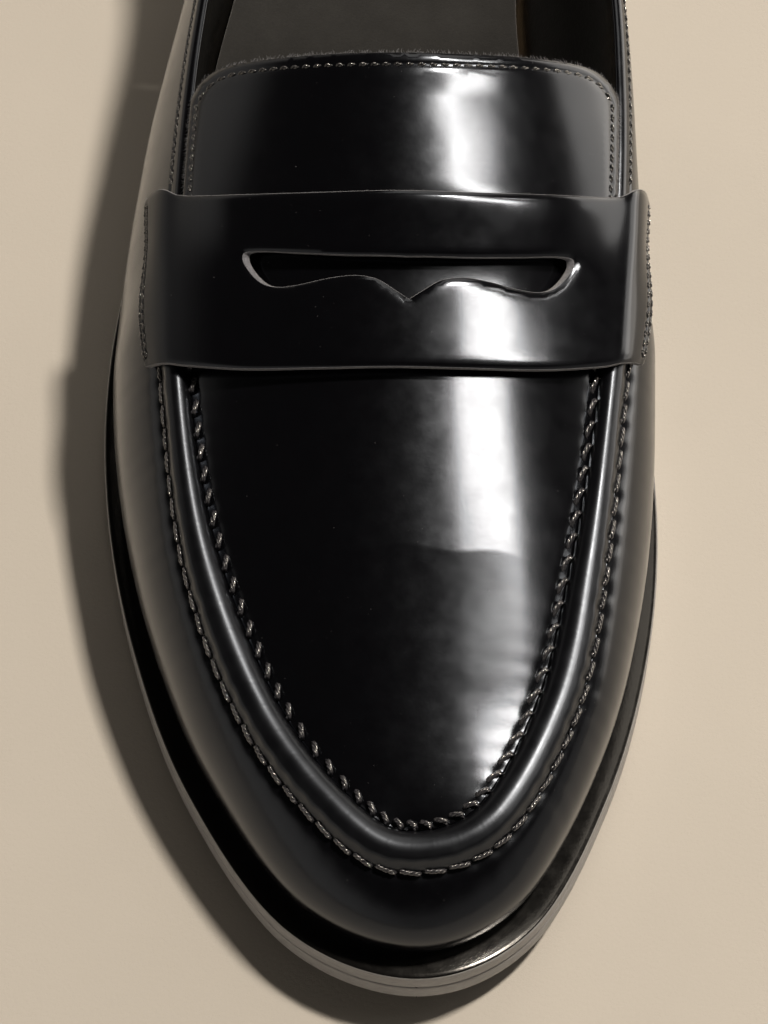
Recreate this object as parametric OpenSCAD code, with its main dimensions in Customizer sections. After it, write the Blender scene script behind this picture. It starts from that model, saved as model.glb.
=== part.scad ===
// Penny loafer, right foot, slip-on with a moccasin apron and a slotted saddle strap.
// The toe points along -Y, the inner (big toe) side faces +X, and the heel rests on z = 0.

/* [Shoe] */
// Length of the outsole
shoe_l = 300; // [280:1:320]
// Width of the outsole at the ball
shoe_w = 112; // [104:1:120]
// Height of the heel under the outsole
heel_h = 20; // [16:1:24]
// Rise of the outsole at the toe tip
toe_spring = 8; // [5:0.5:10]

/* [Sole] */
// Thickness of the outsole
outsole_t = 5; // [4:0.5:6]
// Thickness of the welt strip that lies on the outsole
welt_t = 4.5; // [3.5:0.5:5]
// Thickness of the insole board
insole_t = 2.4; // [2:0.1:3]
// Thickness of the rubber heel top piece
top_piece_t = 6; // [5:0.5:8]

/* [Upper] */
// Thickness of the outer leather
leather_t = 1.4; // [1.2:0.1:1.6]
// Thickness of the stiffeners between leather and lining
stiffener_t = 0.9; // [0.7:0.1:1]
// Thickness of the lining leather
lining_t = 0.8; // [0.6:0.1:1]
// Width of the raised seam roll around the apron
roll_w = 7.4; // [6:0.1:8]
// Height of the raised seam roll above the apron
roll_h = 2.7; // [2:0.1:3.2]

/* [Strap] */
// Width of the saddle strap along the shoe
strap_w = 31.5; // [28:0.5:34]
// Thickness of the saddle strap
strap_t = 1.8; // [1.5:0.1:2.2]
// Length of the coin slot across the strap
slot_l = 62; // [50:1:64]

/* [Tongue] */
// Length of the free tongue behind the strap, on the middle line
tongue_l = 25.5; // [22:0.5:30]
// Clearance between the tongue and the parts beside it
tongue_gap = 0.5; // [0.4:0.1:0.8]

/* [Hidden] */

// Small clearance between stacked layers
gap = 0.06;
// Scale of the foot plan against a 300 by 112 last
plan = [shoe_w / 112, shoe_l / 300];
// Depths of the stiffeners and of the lining below the outer face
stiffener_d = leather_t + gap;
lining_d = stiffener_d + stiffener_t + gap;
upper_t = lining_d + lining_t;
// Ribs run round the shoe: 0 at the heel, 11 at the toe, the outer side first
RIBS = 22;
TOE = 11;
// Outsole edge at each rib: x from the middle line, distance from the toe tip
EDGE = [[3.5, 300], [-20.5, 289], [-33, 262], [-34, 232], [-41, 200], [-50, 168], [-55.8, 136], [-55, 104],
  [-48.7, 72], [-37, 40], [-17.5, 10.4], [7, 0], [28.7, 10.4], [44.3, 40], [53.2, 72], [56, 104], [53, 136],
  [44, 168], [36.5, 200], [36, 232], [38, 262], [27, 289]];
// Seam line in front and topline behind at each rib: x, distance from the toe tip, height
CREST = [[4, 289.5, 90], [-14.5, 281, 88], [-25, 262, 82], [-29, 232, 72], [-34.6, 200, 67], [-38.4, 168, 64],
  [-40, 136, 58], [-38.5, 104, 51.5], [-33.1, 72, 46], [-21.3, 42.4, 41], [-5.8, 22.6, 39], [6.1, 17.2, 38],
  [20.7, 22.8, 39], [33.1, 45.3, 41], [39.3, 72, 46], [44, 104, 51.5], [47.3, 136, 58], [48.6, 168, 64],
  [47.2, 200, 67], [40, 232, 72], [33, 262, 82], [22.5, 281, 88]];
// Arch of the apron and tongue above the crest line, from rib 4 to the toe
ARCH = [24, 22, 17.5, 13, 8.6, 5.6, 1.8, 0];
// How far the strap has swept back at each fifth of the way to its ends, as a share of the whole sweep
SWEEP = [0, 0.05, 0.25, 0.58, 0.78, 1];
// Stations along the shoe, measured from the toe tip
strap_s = 102.5;
hinge_s = strap_s + strap_w + 1.5;
apron_end_s = hinge_s - tongue_gap;
roll_end_rib = 6.5;
heel_breast_s = 222;
// Ribs where the outsole edge meets the heel breast line
heel_rib = 3.31;
// Distance of the welt's and the filler's edges inside the foot of the upper
welt_in = 4.6;
filler_in = 5.2;
// Diameters of the hand-sewn seam thread, of the fine thread, of the nails and of their holes
seam_thread_d = 0.8;
fine_thread_d = 0.6;
nail_d = 2.2;
nail_hole_d = 2.4;
// Height of the stitch row below the topline, as a share of the wall
topline_row_h = 0.94;

// ---- curves ----
function ease(a, b, x) = let (u = min(1, max(0, (x - a) / (b - a)))) u * u * (3 - 2 * u);
function cubic(p, q, r, s, f) =
  0.5 * (2 * q + (r - p) * f + (2 * p - 5 * q + 4 * r - s) * f * f + (3 * q - p - 3 * r + s) * f * f * f);
function loop_at(list, t) =
  let (n = len(list), u = (t % n + n) % n, i = floor(u))
  cubic(list[(i + n - 1) % n], list[i], list[(i + 1) % n], list[(i + 2) % n], u - i);
function open_at(list, t) =
  let (n = len(list) - 1, i = min(n - 1, max(0, floor(t))))
  cubic(list[max(0, i - 1)], list[i], list[i + 1], list[min(n, i + 2)], t - i);
function steps(a, b, n) = [for (i = [0:n]) a + (b - a) * i / n];
function mix(a, b, u) = a * (1 - u) + b * u;
function unit(v) = v / norm(v);

// ---- foot plan ----
function edge(t) = let (p = loop_at(EDGE, t)) [p.x * plan.x, p.y * plan.y];
function outward(t) = let (d = unit(edge(t + 0.02) - edge(t - 0.02))) [d.y, -d.x];
function inset(s) = 5.6 - 1.2 * ease(120, 180, s) - 1.2 * ease(200, 250, s);
function inner_edge(t, more = 0) = let (p = edge(t)) p - outward(t) * (inset(p.y) + more);
// Top face of the welt, where the upper stands
function seat(s) =
  outsole_t + welt_t + toe_spring * pow(max(0, (95 - s) / 95), 2) + heel_h * ease(125, 216, s);
// From plan and distance to the shoe's own axes
function place(p, z) = [p.x, p.y - shoe_l / 2, z];

// ---- upper surfaces: rib t, height h from the welt to the crest, depth d below the outer face ----
function crest(t) = let (p = loop_at(CREST, t)) [p.x * plan.x, p.y * plan.y, p.z];
function lift(v, z) = [v.x, v.y, z];
function roll_at(s) = 1 - ease(121, 140, s);
// The roll is widest round the toe and slimmer along the sides
function roll_width(s) = roll_w * (1 - 0.28 * ease(50, 105, s));
// Wall top: beside the seam roll in front, on the topline behind
function wall_top(t) =
  let (c = crest(t), k = roll_at(c.y), o = outward(t) * 0.55 * roll_width(c.y) * k)
  c + [o.x, o.y, -2.1 * k];
function wall(t, h, d = 0) =
  let (o = lift(outward(t), 0), f = inner_edge(t), s = f.y, foot = lift(f, seat(s) + gap), top = wall_top(t),
    low = foot + o * (4.5 + 2.5 * ease(20, 130, s) - 4 * ease(180, 280, s))
      + [0, 0, 11 + 7 * ease(20, 125, s) + 4 * ease(230, 290, s)],
    brow = top + o * (7 - 4 * ease(130, 270, s)) - [0, 0, 5 + 6 * ease(100, 170, s) + 7 * ease(190, 280, s)],
    skin = foot * pow(1 - h, 3) + 3 * low * h * pow(1 - h, 2) + 3 * brow * h * h * (1 - h) + top * pow(h, 3),
    lean = 55 * h * roll_at(s), in = -o * cos(lean) - [0, 0, sin(lean)])
  place(skin, skin.z) + in * d;
// Rib at a distance s from the toe tip, between the ball and the waist
function rib(s) = 8 - (s / plan.y - 72) / 32;
// Apron and tongue: rib t on the outer side, w from -1 (outer side) to 1 (inner side).
// The edge lies beside the roll in front and rises over the topline behind.
function apron_edge(t) =
  let (c = crest(t), behind = ease(120, 138, c.y), o = outward(t) * mix(0.51 * roll_width(c.y), 1.2, behind))
  c - [o.x, o.y, -0.3 - 1.9 * behind];
function apron(t, w, d = 0) =
  let (a = apron_edge(t), b = apron_edge(RIBS - t), p = mix(a, b, (w + 1) / 2),
    rise = open_at(ARCH, t - 4) * (1 - w * w))
  place(p, p.z + rise - d);

// ---- solids ----
// Closed slab between two grids of points that share rows and columns;
// rows, columns and the way from far to near make a right-handed set
module slab(near, far, closed = false) {
  rows = len(near);
  cols = len(near[0]);
  front = [for (r = near) each r];
  back = [for (r = far) each r];
  n = rows * cols;
  last = closed ? rows - 1 : rows - 2;
  skin = [for (i = [0:last], j = [0:cols - 2])
    let (a = i * cols + j, b = (i + 1) % rows * cols + j)
    each [[a, b + 1, b], [a, a + 1, b + 1], [a + n, b + n, b + 1 + n], [a + n, b + 1 + n, a + 1 + n]]];
  long_sides = [for (i = [0:last], j = [0, cols - 1])
    let (a = i * cols + j, b = (i + 1) % rows * cols + j)
    each (j == 0 ? [[a, b, b + n], [a, b + n, a + n]] : [[a, b + n, b], [a, a + n, b + n]])];
  ends = closed ? [] : [for (i = [0, rows - 1], j = [0:cols - 2])
    let (a = i * cols + j, b = a + 1)
    each (i == 0 ? [[a, b + n, b], [a, a + n, b + n]] : [[a, b, b + n], [a, b + n, a + n]])];
  polyhedron(concat(front, back), concat(skin, long_sides, ends));
}
// Layer of the upper wall between two depths
module wall_layer(ribs, heights, near, far) {
  slab([for (t = ribs) [for (h = heights) wall(t, h, near)]],
    [for (t = ribs) [for (h = heights) wall(t, h, far)]]);
}
// Layer of the apron or tongue between two depths
module apron_layer(ribs, widths, near, far) {
  slab([for (t = ribs) [for (w = widths) apron(t, w, near)]],
    [for (t = ribs) [for (w = widths) apron(t, w, far)]]);
}
// Flat layer that follows the seat, from rib to rib, inset by more and lying between two heights
module floor_layer(ribs, widths, more, high, low) {
  slab([for (t = ribs) [for (w = widths) floor_at(t, w, more, high)]],
    [for (t = ribs) [for (w = widths) floor_at(t, w, more, low)]]);
}
function floor_at(t, w, more, z) =
  let (p = mix(inner_edge(t, more), inner_edge(RIBS - t, more), (w + 1) / 2)) place(p, seat(p.y) + z);
// Straight stitch from p to q
module stitch(p, q, d) {
  v = q - p;
  translate(p) rotate([0, acos(v.z / norm(v)), atan2(v.y, v.x)]) cylinder(h = norm(v), d = d, $fn = 14);
}
// Stitches along a wall line of constant height, on the outer face
module wall_row(ribs, h, d) {
  for (t = ribs) stitch(wall(t, h, -0.5 * d), wall(t + 0.07, h, -0.5 * d), d);
}

// Ribs and widths of the flat layers
FULL = [0.02, each steps(0.25, 10.75, 42), 10.98];
ACROSS = steps(-1, 1, 4);
// Ribs and heights of the wall layers: every layer is cut on these, so that facets never cross
side_seam_rib = 3.5;
HEIGHTS = steps(0, 1, 7);
VAMP_RIBS = steps(side_seam_rib, RIBS - side_seam_rib, 45);
LATERAL_RIBS = [0.01, each steps(1 / 3, 10 / 3, 9), side_seam_rib - 0.02];
MEDIAL_RIBS = [0.02 - side_seam_rib, each steps(-10 / 3, -1 / 3, 9), -0.01];
APRON_RIBS = [rib(apron_end_s), each steps(37 / 6, 65 / 6, 14), 10.93];

// ---- bottom ----
module outsole() {
  color("#3a3a3c") slab([for (t = FULL) [for (w = ACROSS) sole_at(t, w, -welt_t)]],
    [for (t = FULL) [for (w = ACROSS) sole_at(t, w, -welt_t - outsole_t)]]);
}
function sole_at(t, w, z) =
  let (p = mix(edge(t), edge(RIBS - t), (w + 1) / 2)) place(p, seat(p.y) + z);
module welt() {
  ring = steps(0, RIBS - 0.25, RIBS * 4 - 1);
  top = [for (t = ring) [welt_at(edge(t), 0), welt_at(inner_edge(t, welt_in), 0)]];
  under = [for (t = ring) [welt_at(edge(t), gap - welt_t), welt_at(inner_edge(t, welt_in), gap - welt_t)]];
  color("#242426") slab(top, under, closed = true);
}
function welt_at(p, z) = place(p, seat(p.y) + z);
// Plan of the heel: the outsole edge behind the breast line, drawn in by more
module heel_plan(more) {
  edge_in = [for (t = steps(-heel_rib, heel_rib, 40))
    let (p = edge(t) - outward(t) * more) [p.x, p.y - shoe_l / 2]];
  polygon(edge_in);
}
module heel_lifts() {
  lift_t = (heel_h - top_piece_t - 2 * gap) / 2;
  color("#1c1c1e") for (i = [0, 1])
    translate([0, 0, top_piece_t + gap + i * (lift_t + gap / 2)])
      linear_extrude(lift_t - gap / 2) heel_plan(0.6);
}
module heel_top_piece() {
  color("#161617") difference() {
    linear_extrude(top_piece_t) heel_plan(0.9);
    for (p = nail_places())
      translate([p.x, p.y, -1]) cylinder(h = top_piece_t + 2, d = nail_hole_d, $fn = 24);
  }
}
// Two curved rows of nails across the heel
function nail_places() = [for (a = [30:40:150], row = [[23, 30], [18.4, 10.5]])
  [2 + row[0] * cos(a), heel_breast_s + 22 + row[1] * sin(a) - shoe_l / 2]];
module heel_nails() {
  nail_l = top_piece_t - 0.4;
  color("#8c7a4a") for (p = nail_places())
    translate([p.x, p.y, 0.4]) cylinder(h = nail_l, d = nail_d, $fn = 24);
}
module bottom_filler() {
  color("#9a7a55") floor_layer(FULL, ACROSS, filler_in, -1.7, gap - welt_t);
}
module shank() {
  rows = steps(150, 246, 12);
  color("#8d9196") slab([for (s = rows) [for (x = [7, -7]) place([x, s], seat(s) - 0.3)]],
    [for (s = rows) [for (x = [7, -7]) place([x, s], seat(s) - 1.5)]]);
}
module insole_board() {
  color("#a98c66") floor_layer(FULL, ACROSS, upper_t + 0.3, insole_t, 0.1);
}
module heel_pad() {
  ribs = [for (t = FULL) if (t < 3.8) t];
  color("#5d5d60") floor_layer(ribs, ACROSS, upper_t + 4, insole_t + 2, insole_t + gap);
}
// The sock lies on the insole board and climbs over the heel pad
function sock_z(s) = insole_t + gap + (2 + gap) * ease(186, 206, s);
module sock_lining() {
  color("#3c3c3e") slab([for (t = FULL) [for (w = ACROSS) sock_at(t, w, 1)]],
    [for (t = FULL) [for (w = ACROSS) sock_at(t, w, 0)]]);
}
function sock_at(t, w, z) =
  let (p = mix(inner_edge(t, upper_t + 0.4), inner_edge(RIBS - t, upper_t + 0.4), (w + 1) / 2))
  place(p, seat(p.y) + sock_z(p.y) + z);

// ---- upper ----
module vamp_wall() {
  color("#17171a") wall_layer(VAMP_RIBS, HEIGHTS, 0, leather_t);
}
module quarter_lateral() {
  color("#17171a") wall_layer(LATERAL_RIBS, HEIGHTS, 0, leather_t);
}
module quarter_medial() {
  color("#17171a") wall_layer(MEDIAL_RIBS, HEIGHTS, 0, leather_t);
}
module backstay() {
  color("#17171a") wall_layer(steps(-1 / 3, 1 / 3, 2), HEIGHTS, -1.1, -gap);
}
module toe_puff() {
  color("#b9b2a2") wall_layer(steps(8.5, 13.5, 15), HEIGHTS, stiffener_d, lining_d - gap);
}
module heel_counter() {
  color("#b9b2a2") wall_layer(steps(-10 / 3, 10 / 3, 20), steps(0, 5 / 7, 5), stiffener_d, lining_d - gap);
}
module topline_tape() {
  ahead = [for (i = [1:3]) side_seam_rib + i / 3];
  half = [each steps(1 / 3, 10 / 3, 9), side_seam_rib, each ahead];
  ribs = [for (i = [len(half) - 1:-1:0]) -half[i]];
  color("#26262a") wall_layer([each ribs, 0, each half], [6 / 7, 1], stiffener_d, lining_d - gap);
}
module vamp_lining() {
  color("#202022") wall_layer(VAMP_RIBS, HEIGHTS, lining_d, upper_t);
}
module apron_lining() {
  color("#202022") apron_layer(APRON_RIBS, steps(-1, 1, 12), lining_d, upper_t);
}
module quarter_lining_lateral() {
  color("#202022") wall_layer(LATERAL_RIBS, HEIGHTS, lining_d, upper_t);
}
module quarter_lining_medial() {
  color("#202022") wall_layer(MEDIAL_RIBS, HEIGHTS, lining_d, upper_t);
}
module heel_grip() {
  color("#3a3a3c") wall_layer(steps(-5 / 3, 5 / 3, 10), steps(1 / 7, 6 / 7, 5), upper_t + gap, upper_t + 0.8);
}
module apron_plug() {
  color("#1a1a1d") apron_layer(APRON_RIBS, steps(-1, 1, 12), 0, leather_t);
}
// Seam roll: a rounded bead laid along the crest line
ROLL = [[0.40, -2.3], [0.52, -1.3], [0.43, 0.3], [0.24, 0.8], [0, 1], [-0.24, 0.86], [-0.42, 0.45],
  [-0.48, -0.1], [-0.42, -1.1]];
module apron_roll() {
  ribs = steps(roll_end_rib, RIBS - roll_end_rib, 27);
  points = [for (t = ribs) [for (q = ROLL) roll_at_rib(t, q)]];
  m = len(ROLL);
  rows = len(points);
  sides = [for (i = [0:rows - 2], j = [0:m - 1])
    let (a = i * m + j, b = i * m + (j + 1) % m) each [[a, b, b + m], [a, b + m, a + m]]];
  last = (rows - 1) * m;
  caps = [for (j = [1:m - 2]) each [[0, j + 1, j], [last, last + j, last + j + 1]]];
  color("#17171a") polyhedron([for (r = points) each r], concat(sides, caps));
}
// Point of the roll's section: q[0] across in roll widths, q[1] up in roll heights or down in mm
function roll_at_rib(t, q) =
  let (c = crest(t), o = outward(t) * q[0] * roll_width(c.y), z = q[1] > 0 ? q[1] * roll_h : q[1])
  place([c.x + o.x, c.y + o.y], c.z + z);

// ---- saddle strap ----
// Strap middle surface: u across from -1 (outer end) to 1 (inner end), v along from 0 (front) to 1 (rear)
function strap_way(k, t, v) =
  let (m = abs(k), r = k < 0 ? t : RIBS - t)
  m == 6 ? wall(r, 0.75 - 0.15 * v, -0.5)
  : m == 5 ? wall(r, 0.93 - 0.15 * v, -0.5)
  : m == 4 ? roll_at_rib(r, [0.3, 0.85])
  : m == 3 ? roll_at_rib(r, [-0.45, 1 + (2 + v) / roll_h])
  : apron(t, sign(k) * [0, 0.36, 0.72][m], -[2.2, 2.3, 2.9][m]);
function strap_node(k, v) =
  strap_way(k, rib(strap_s + strap_w * v + (10.3 + 4 * v) * SWEEP[min(5, abs(k))]), v);
function strap_face(u, v) =
  let (x = u * 5, i = floor(x))
  cubic(strap_node(i - 1, v), strap_node(i, v), strap_node(i + 1, v), strap_node(i + 2, v), x - i);
// Point of the strap at height d above its lower face
function strap_at(u, v, d) =
  let (e = 0.01, lo = max(-0.999, u - e), hi = min(0.999, u + e))
  strap_face(u, v)
    + unit(cross(strap_face(hi, v) - strap_face(lo, v), strap_face(u, v + e) - strap_face(u, v - e))) * d;
module saddle_strap() {
  across = steps(-0.999, 0.999, 30);
  along = steps(0, 1, 5);
  color("#1a1a1d") difference() {
    slab([for (u = across) [for (v = along) strap_at(u, v, strap_t)]],
      [for (u = across) [for (v = along) strap_at(u, v, 0)]]);
    translate([5.5, 0, 50]) linear_extrude(60) coin_slot();
  }
}
// Coin slot: straight rear edge, rounded ends, front edge with a point in the middle
module coin_slot() {
  h = slot_l / 2;
  s = strap_s - shoe_l / 2;
  half = [[0, 12.3], [0.08 * h, 13.9], [0.19 * h, 16], [0.32 * h, 16.9], [0.48 * h, 16.8], [0.65 * h, 16.4],
    [0.78 * h, 16.7], [0.88 * h, 18.1], [0.96 * h, 20.9], [h, 23.6], [0.95 * h, 24.4], [0.65 * h, 22.3],
    [0.35 * h, 20.8], [0, 20.2]];
  right = [for (t = steps(0, len(half) - 1, 39)) open_at(half, t)];
  left = [for (i = [len(right) - 2:-1:1]) [-right[i].x, right[i].y]];
  translate([0, s]) polygon(concat(right, left));
}

// ---- tongue ----
// Tongue: v from the hinge line (0) to the free edge (1), w across; the free edge has square shoulders
function tongue_at(v, w, d) =
  let (long = (tongue_l + 9.5 * w * w) * (1 - 0.2 * pow(w, 16))) apron(rib(hinge_s + long * v), 0.985 * w, d);
module tongue() {
  color("#1a1a1d") tongue_layer(0, leather_t, 1);
}
module tongue_lining() {
  color("#6a6a6c") tongue_layer(leather_t + gap, leather_t + gap + lining_t, 0.985);
}
module tongue_layer(near, far, part) {
  along = steps(0, part, 9);
  across = steps(-part, part, 18);
  slab([for (w = across) [for (v = along) tongue_at(v, w, near)]],
    [for (w = across) [for (v = along) tongue_at(v, w, far)]]);
}

// ---- threads ----
// Stitches spaced evenly along the seam from rib a to rib b, each covering part of its pitch
module seam_row(a, b, n, p, q) {
  ribs = steps(a, b, 200);
  points = [for (t = ribs) roll_at_rib(t, p)];
  run = [for (i = 0, sum = 0; i < len(points); i = i + 1,
    sum = sum + (i < len(points) ? norm(points[i] - points[i - 1]) : 0)) sum];
  table = [for (i = [0:200]) [run[i], ribs[i]]];
  pitch = run[200] / n;
  for (i = [0:n - 1])
    stitch(roll_at_rib(lookup((i + 0.2) * pitch, table), p), roll_at_rib(lookup((i + 0.8) * pitch, table), q),
      seam_thread_d);
}
module seam_thread_inner() {
  color("#2a2a2c") seam_row(roll_end_rib + 0.1, RIBS - roll_end_rib - 0.1, 52, [-0.5, 0.7], [-0.56, 0.6]);
}
module seam_thread_outer() {
  color("#2a2a2c") seam_row(roll_end_rib + 0.1, RIBS - roll_end_rib - 0.1, 52, [0.56, -1.1], [0.62, -1.8]);
}
module strap_thread(side) {
  color("#2a2a2c") for (i = [0:9]) {
    a = strap_at(side * 0.965, 0.06 + i * 0.09, strap_t + 0.3);
    b = strap_at(side * 0.965, 0.12 + i * 0.09, strap_t + 0.3);
    stitch(a, b, fine_thread_d);
  }
}
module strap_thread_lateral() {
  strap_thread(-1);
}
module strap_thread_medial() {
  strap_thread(1);
}
module tongue_thread() {
  color("#2a2a2c") for (w = steps(-0.9, 0.87, 30))
    stitch(tongue_at(0.91, w, -0.35), tongue_at(0.91, w + 0.035, -0.35), fine_thread_d);
}
module topline_thread() {
  color("#2a2a2c") {
    wall_row(steps(0.6, 5.1, 40), topline_row_h, fine_thread_d);
    wall_row(steps(-5.17, -0.67, 40), topline_row_h, fine_thread_d);
  }
}
module side_seam_thread() {
  color("#2a2a2c") for (t = [-1, 1] * side_seam_rib, row = [-0.12, 0.1], h = steps(0.1, 0.9, 14))
    stitch(wall(t + row, h, -0.4), wall(t + row, h + 0.035, -0.4), fine_thread_d);
}
module backstay_thread() {
  color("#2a2a2c") for (t = [-0.26, 0.26], h = steps(0.08, 0.95, 18))
    stitch(wall(t, h, -1.5), wall(t, h + 0.03, -1.5), fine_thread_d);
}

outsole();
welt();
heel_lifts();
heel_top_piece();
heel_nails();
bottom_filler();
shank();
insole_board();
heel_pad();
sock_lining();
vamp_wall();
quarter_lateral();
quarter_medial();
backstay();
toe_puff();
heel_counter();
topline_tape();
vamp_lining();
apron_lining();
quarter_lining_lateral();
quarter_lining_medial();
heel_grip();
apron_plug();
apron_roll();
saddle_strap();
tongue();
tongue_lining();
seam_thread_inner();
seam_thread_outer();
strap_thread_lateral();
strap_thread_medial();
tongue_thread();
topline_thread();
side_seam_thread();
backstay_thread();
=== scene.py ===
"""Looks of the penny loafer: smooth leather panels, stitches, soles and studio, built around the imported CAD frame."""

import math

import bpy
import numpy as np
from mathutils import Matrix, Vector
from mathutils.geometry import delaunay_2d_cdt


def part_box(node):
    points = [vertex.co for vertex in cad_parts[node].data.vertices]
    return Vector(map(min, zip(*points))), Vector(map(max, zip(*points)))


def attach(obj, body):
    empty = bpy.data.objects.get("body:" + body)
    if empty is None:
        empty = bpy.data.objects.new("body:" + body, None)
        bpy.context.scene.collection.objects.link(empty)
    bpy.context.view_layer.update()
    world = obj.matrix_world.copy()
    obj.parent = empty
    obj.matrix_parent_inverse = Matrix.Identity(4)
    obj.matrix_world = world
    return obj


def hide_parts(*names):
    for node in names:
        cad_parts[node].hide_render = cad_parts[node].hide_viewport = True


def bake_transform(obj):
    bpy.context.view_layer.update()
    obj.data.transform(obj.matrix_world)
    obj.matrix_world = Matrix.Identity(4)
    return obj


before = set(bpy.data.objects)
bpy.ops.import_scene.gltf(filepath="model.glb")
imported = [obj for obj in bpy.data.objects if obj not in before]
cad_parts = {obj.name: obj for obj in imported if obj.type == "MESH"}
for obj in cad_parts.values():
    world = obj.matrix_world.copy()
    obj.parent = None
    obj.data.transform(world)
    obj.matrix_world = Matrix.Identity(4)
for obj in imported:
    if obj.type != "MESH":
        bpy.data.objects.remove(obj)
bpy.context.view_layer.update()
rng = np.random.default_rng(11)

# ---------------------------------------------------------------- sizes
# Everything below is in millimetres until a mesh is made.
MM = 0.001
RIBS, TOE = 22, 11
LEATHER, STIFFENER, LINING, GAP = 1.4, 0.9, 0.8, 0.06
LINING_D = LEATHER + STIFFENER + 2 * GAP
UPPER_T = LINING_D + LINING
OUTSOLE_T, WELT_T, INSOLE_T, TOP_PIECE_T = 5.0, 4.5, 2.4, 6.0
ROLL_W, ROLL_H = 7.4, 2.7
STRAP_S, STRAP_W, STRAP_T = 102.5, 31.5, 1.8
HINGE_S = STRAP_S + STRAP_W + 1.5
TONGUE_L = 25.5
ROLL_END_RIB = 6.5
SIDE_SEAM_RIB = 3.5
SPRING, HEEL_H = 8.0, 20.0

# Outsole edge at each rib: x, distance from the toe tip. Rib 0 is the heel, rib 11 the toe, outer side first.
EDGE = np.array([(3.5, 300), (-20.5, 289), (-33, 262), (-34, 232), (-41, 200), (-50, 168), (-55.8, 136),
                 (-55, 104), (-48.7, 72), (-37, 40), (-17.5, 10.4), (7, 0), (28.7, 10.4), (44.3, 40),
                 (53.2, 72), (56, 104), (53, 136), (44, 168), (36.5, 200), (36, 232), (38, 262), (27, 289)])
# Seam line in front and topline behind at each rib: x, distance from the toe tip, height.
CREST = np.array([(4, 289.5, 90), (-14.5, 281, 88), (-25, 262, 82), (-29, 232, 72), (-34.6, 200, 67),
                  (-38.4, 168, 64), (-40, 136, 58), (-38.5, 104, 51.5), (-33.1, 72, 46), (-21.3, 42.4, 41),
                  (-5.8, 22.6, 39), (6.1, 17.2, 38), (20.7, 22.8, 39), (33.1, 45.3, 41), (39.3, 72, 46),
                  (44, 104, 51.5), (47.3, 136, 58), (48.6, 168, 64), (47.2, 200, 67), (40, 232, 72),
                  (33, 262, 82), (22.5, 281, 88)])
# Arch of the apron and tongue above the crest line, from rib 4 to the toe.
ARCH = np.array([24, 22, 17.5, 13, 8.6, 5.6, 1.8, 0.0])

sole_low, sole_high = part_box("outsole")
SHOE_L = (sole_high.y - sole_low.y) / MM


# ---------------------------------------------------------------- curves
def ease(a, b, x):
    u = np.clip((np.asarray(x, float) - a) / (b - a), 0, 1)
    return u * u * (3 - 2 * u)


def cubic(p, q, r, s, f):
    return 0.5 * (2 * q + (r - p) * f + (2 * p - 5 * q + 4 * r - s) * f**2 + (3 * q - p - 3 * r + s) * f**3)


def loop_at(table, t):
    n = len(table)
    t = np.mod(np.asarray(t, float), n)
    i = np.floor(t).astype(int)
    f = t - i
    if table.ndim > 1:
        f = f[..., None]
    return cubic(table[(i - 1) % n], table[i % n], table[(i + 1) % n], table[(i + 2) % n], f)


def open_at(table, t):
    n = len(table) - 1
    t = np.asarray(t, float)
    i = np.clip(np.floor(t), 0, n - 1).astype(int)
    f = t - i
    if table.ndim > 1:
        f = f[..., None]
    return cubic(table[np.maximum(i - 1, 0)], table[i], table[i + 1], table[np.minimum(i + 2, n)], f)


def unit(v):
    return v / np.maximum(np.linalg.norm(v, axis=-1, keepdims=True), 1e-9)


def mix(a, b, u):
    return a * (1 - u) + b * u


def even(line, a, b, n):
    """n + 1 parameters from a to b at equal distances along line(t)."""
    t = np.linspace(a, b, 2400)
    step = np.linalg.norm(np.diff(line(t), axis=0), axis=1)
    run = np.concatenate([[0], np.cumsum(step)])
    return np.interp(np.linspace(0, run[-1], n + 1), run, t)


def bend(t, h):
    """Two arrays spread to a common grid shape."""
    return np.broadcast_arrays(np.asarray(t, float), np.asarray(h, float))


# ---------------------------------------------------------------- foot plan and upper, as in the CAD
edge_all = loop_at(EDGE, np.linspace(0, RIBS, 2000))
PLAN = np.array([(sole_high.x - sole_low.x) / MM / np.ptp(edge_all[:, 0]), SHOE_L / np.ptp(edge_all[:, 1])])


def edge(t):
    return loop_at(EDGE, t) * PLAN


def outward(t):
    d = unit(edge(np.asarray(t) + 0.02) - edge(np.asarray(t) - 0.02))
    return np.stack([d[..., 1], -d[..., 0]], -1)


def inset(s):
    return 5.6 - 1.2 * ease(120, 180, s) - 1.2 * ease(200, 250, s)


def inner_edge(t, more=0.0):
    p = edge(t)
    return p - outward(t) * (inset(p[..., 1]) + more)[..., None]


def seat(s):
    return OUTSOLE_T + WELT_T + SPRING * np.maximum(0, (95 - s) / 95) ** 2 + HEEL_H * ease(125, 216, s)


def place(p, z):
    return np.stack([p[..., 0], p[..., 1] - SHOE_L / 2, z + 0 * p[..., 0]], -1)


def crest(t):
    return loop_at(CREST, t) * np.array([PLAN[0], PLAN[1], 1])


def roll_at(s):
    return 1 - ease(121, 140, s)


def roll_width(s):
    """The roll is widest round the toe and slimmer along the sides."""
    return ROLL_W * (1 - 0.28 * ease(50, 105, s))


def flat(v):
    """A plan direction as a 3-D one."""
    return np.concatenate([v, np.zeros(v.shape[:-1] + (1,))], -1)


def wall_top(t):
    c = crest(t)
    k = roll_at(c[..., 1])[..., None]
    return c + flat(outward(t)) * k * 0.55 * roll_width(c[..., 1])[..., None] + np.array([0, 0, -2.1]) * k


UP = np.array([0, 0, 1.0])


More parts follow.
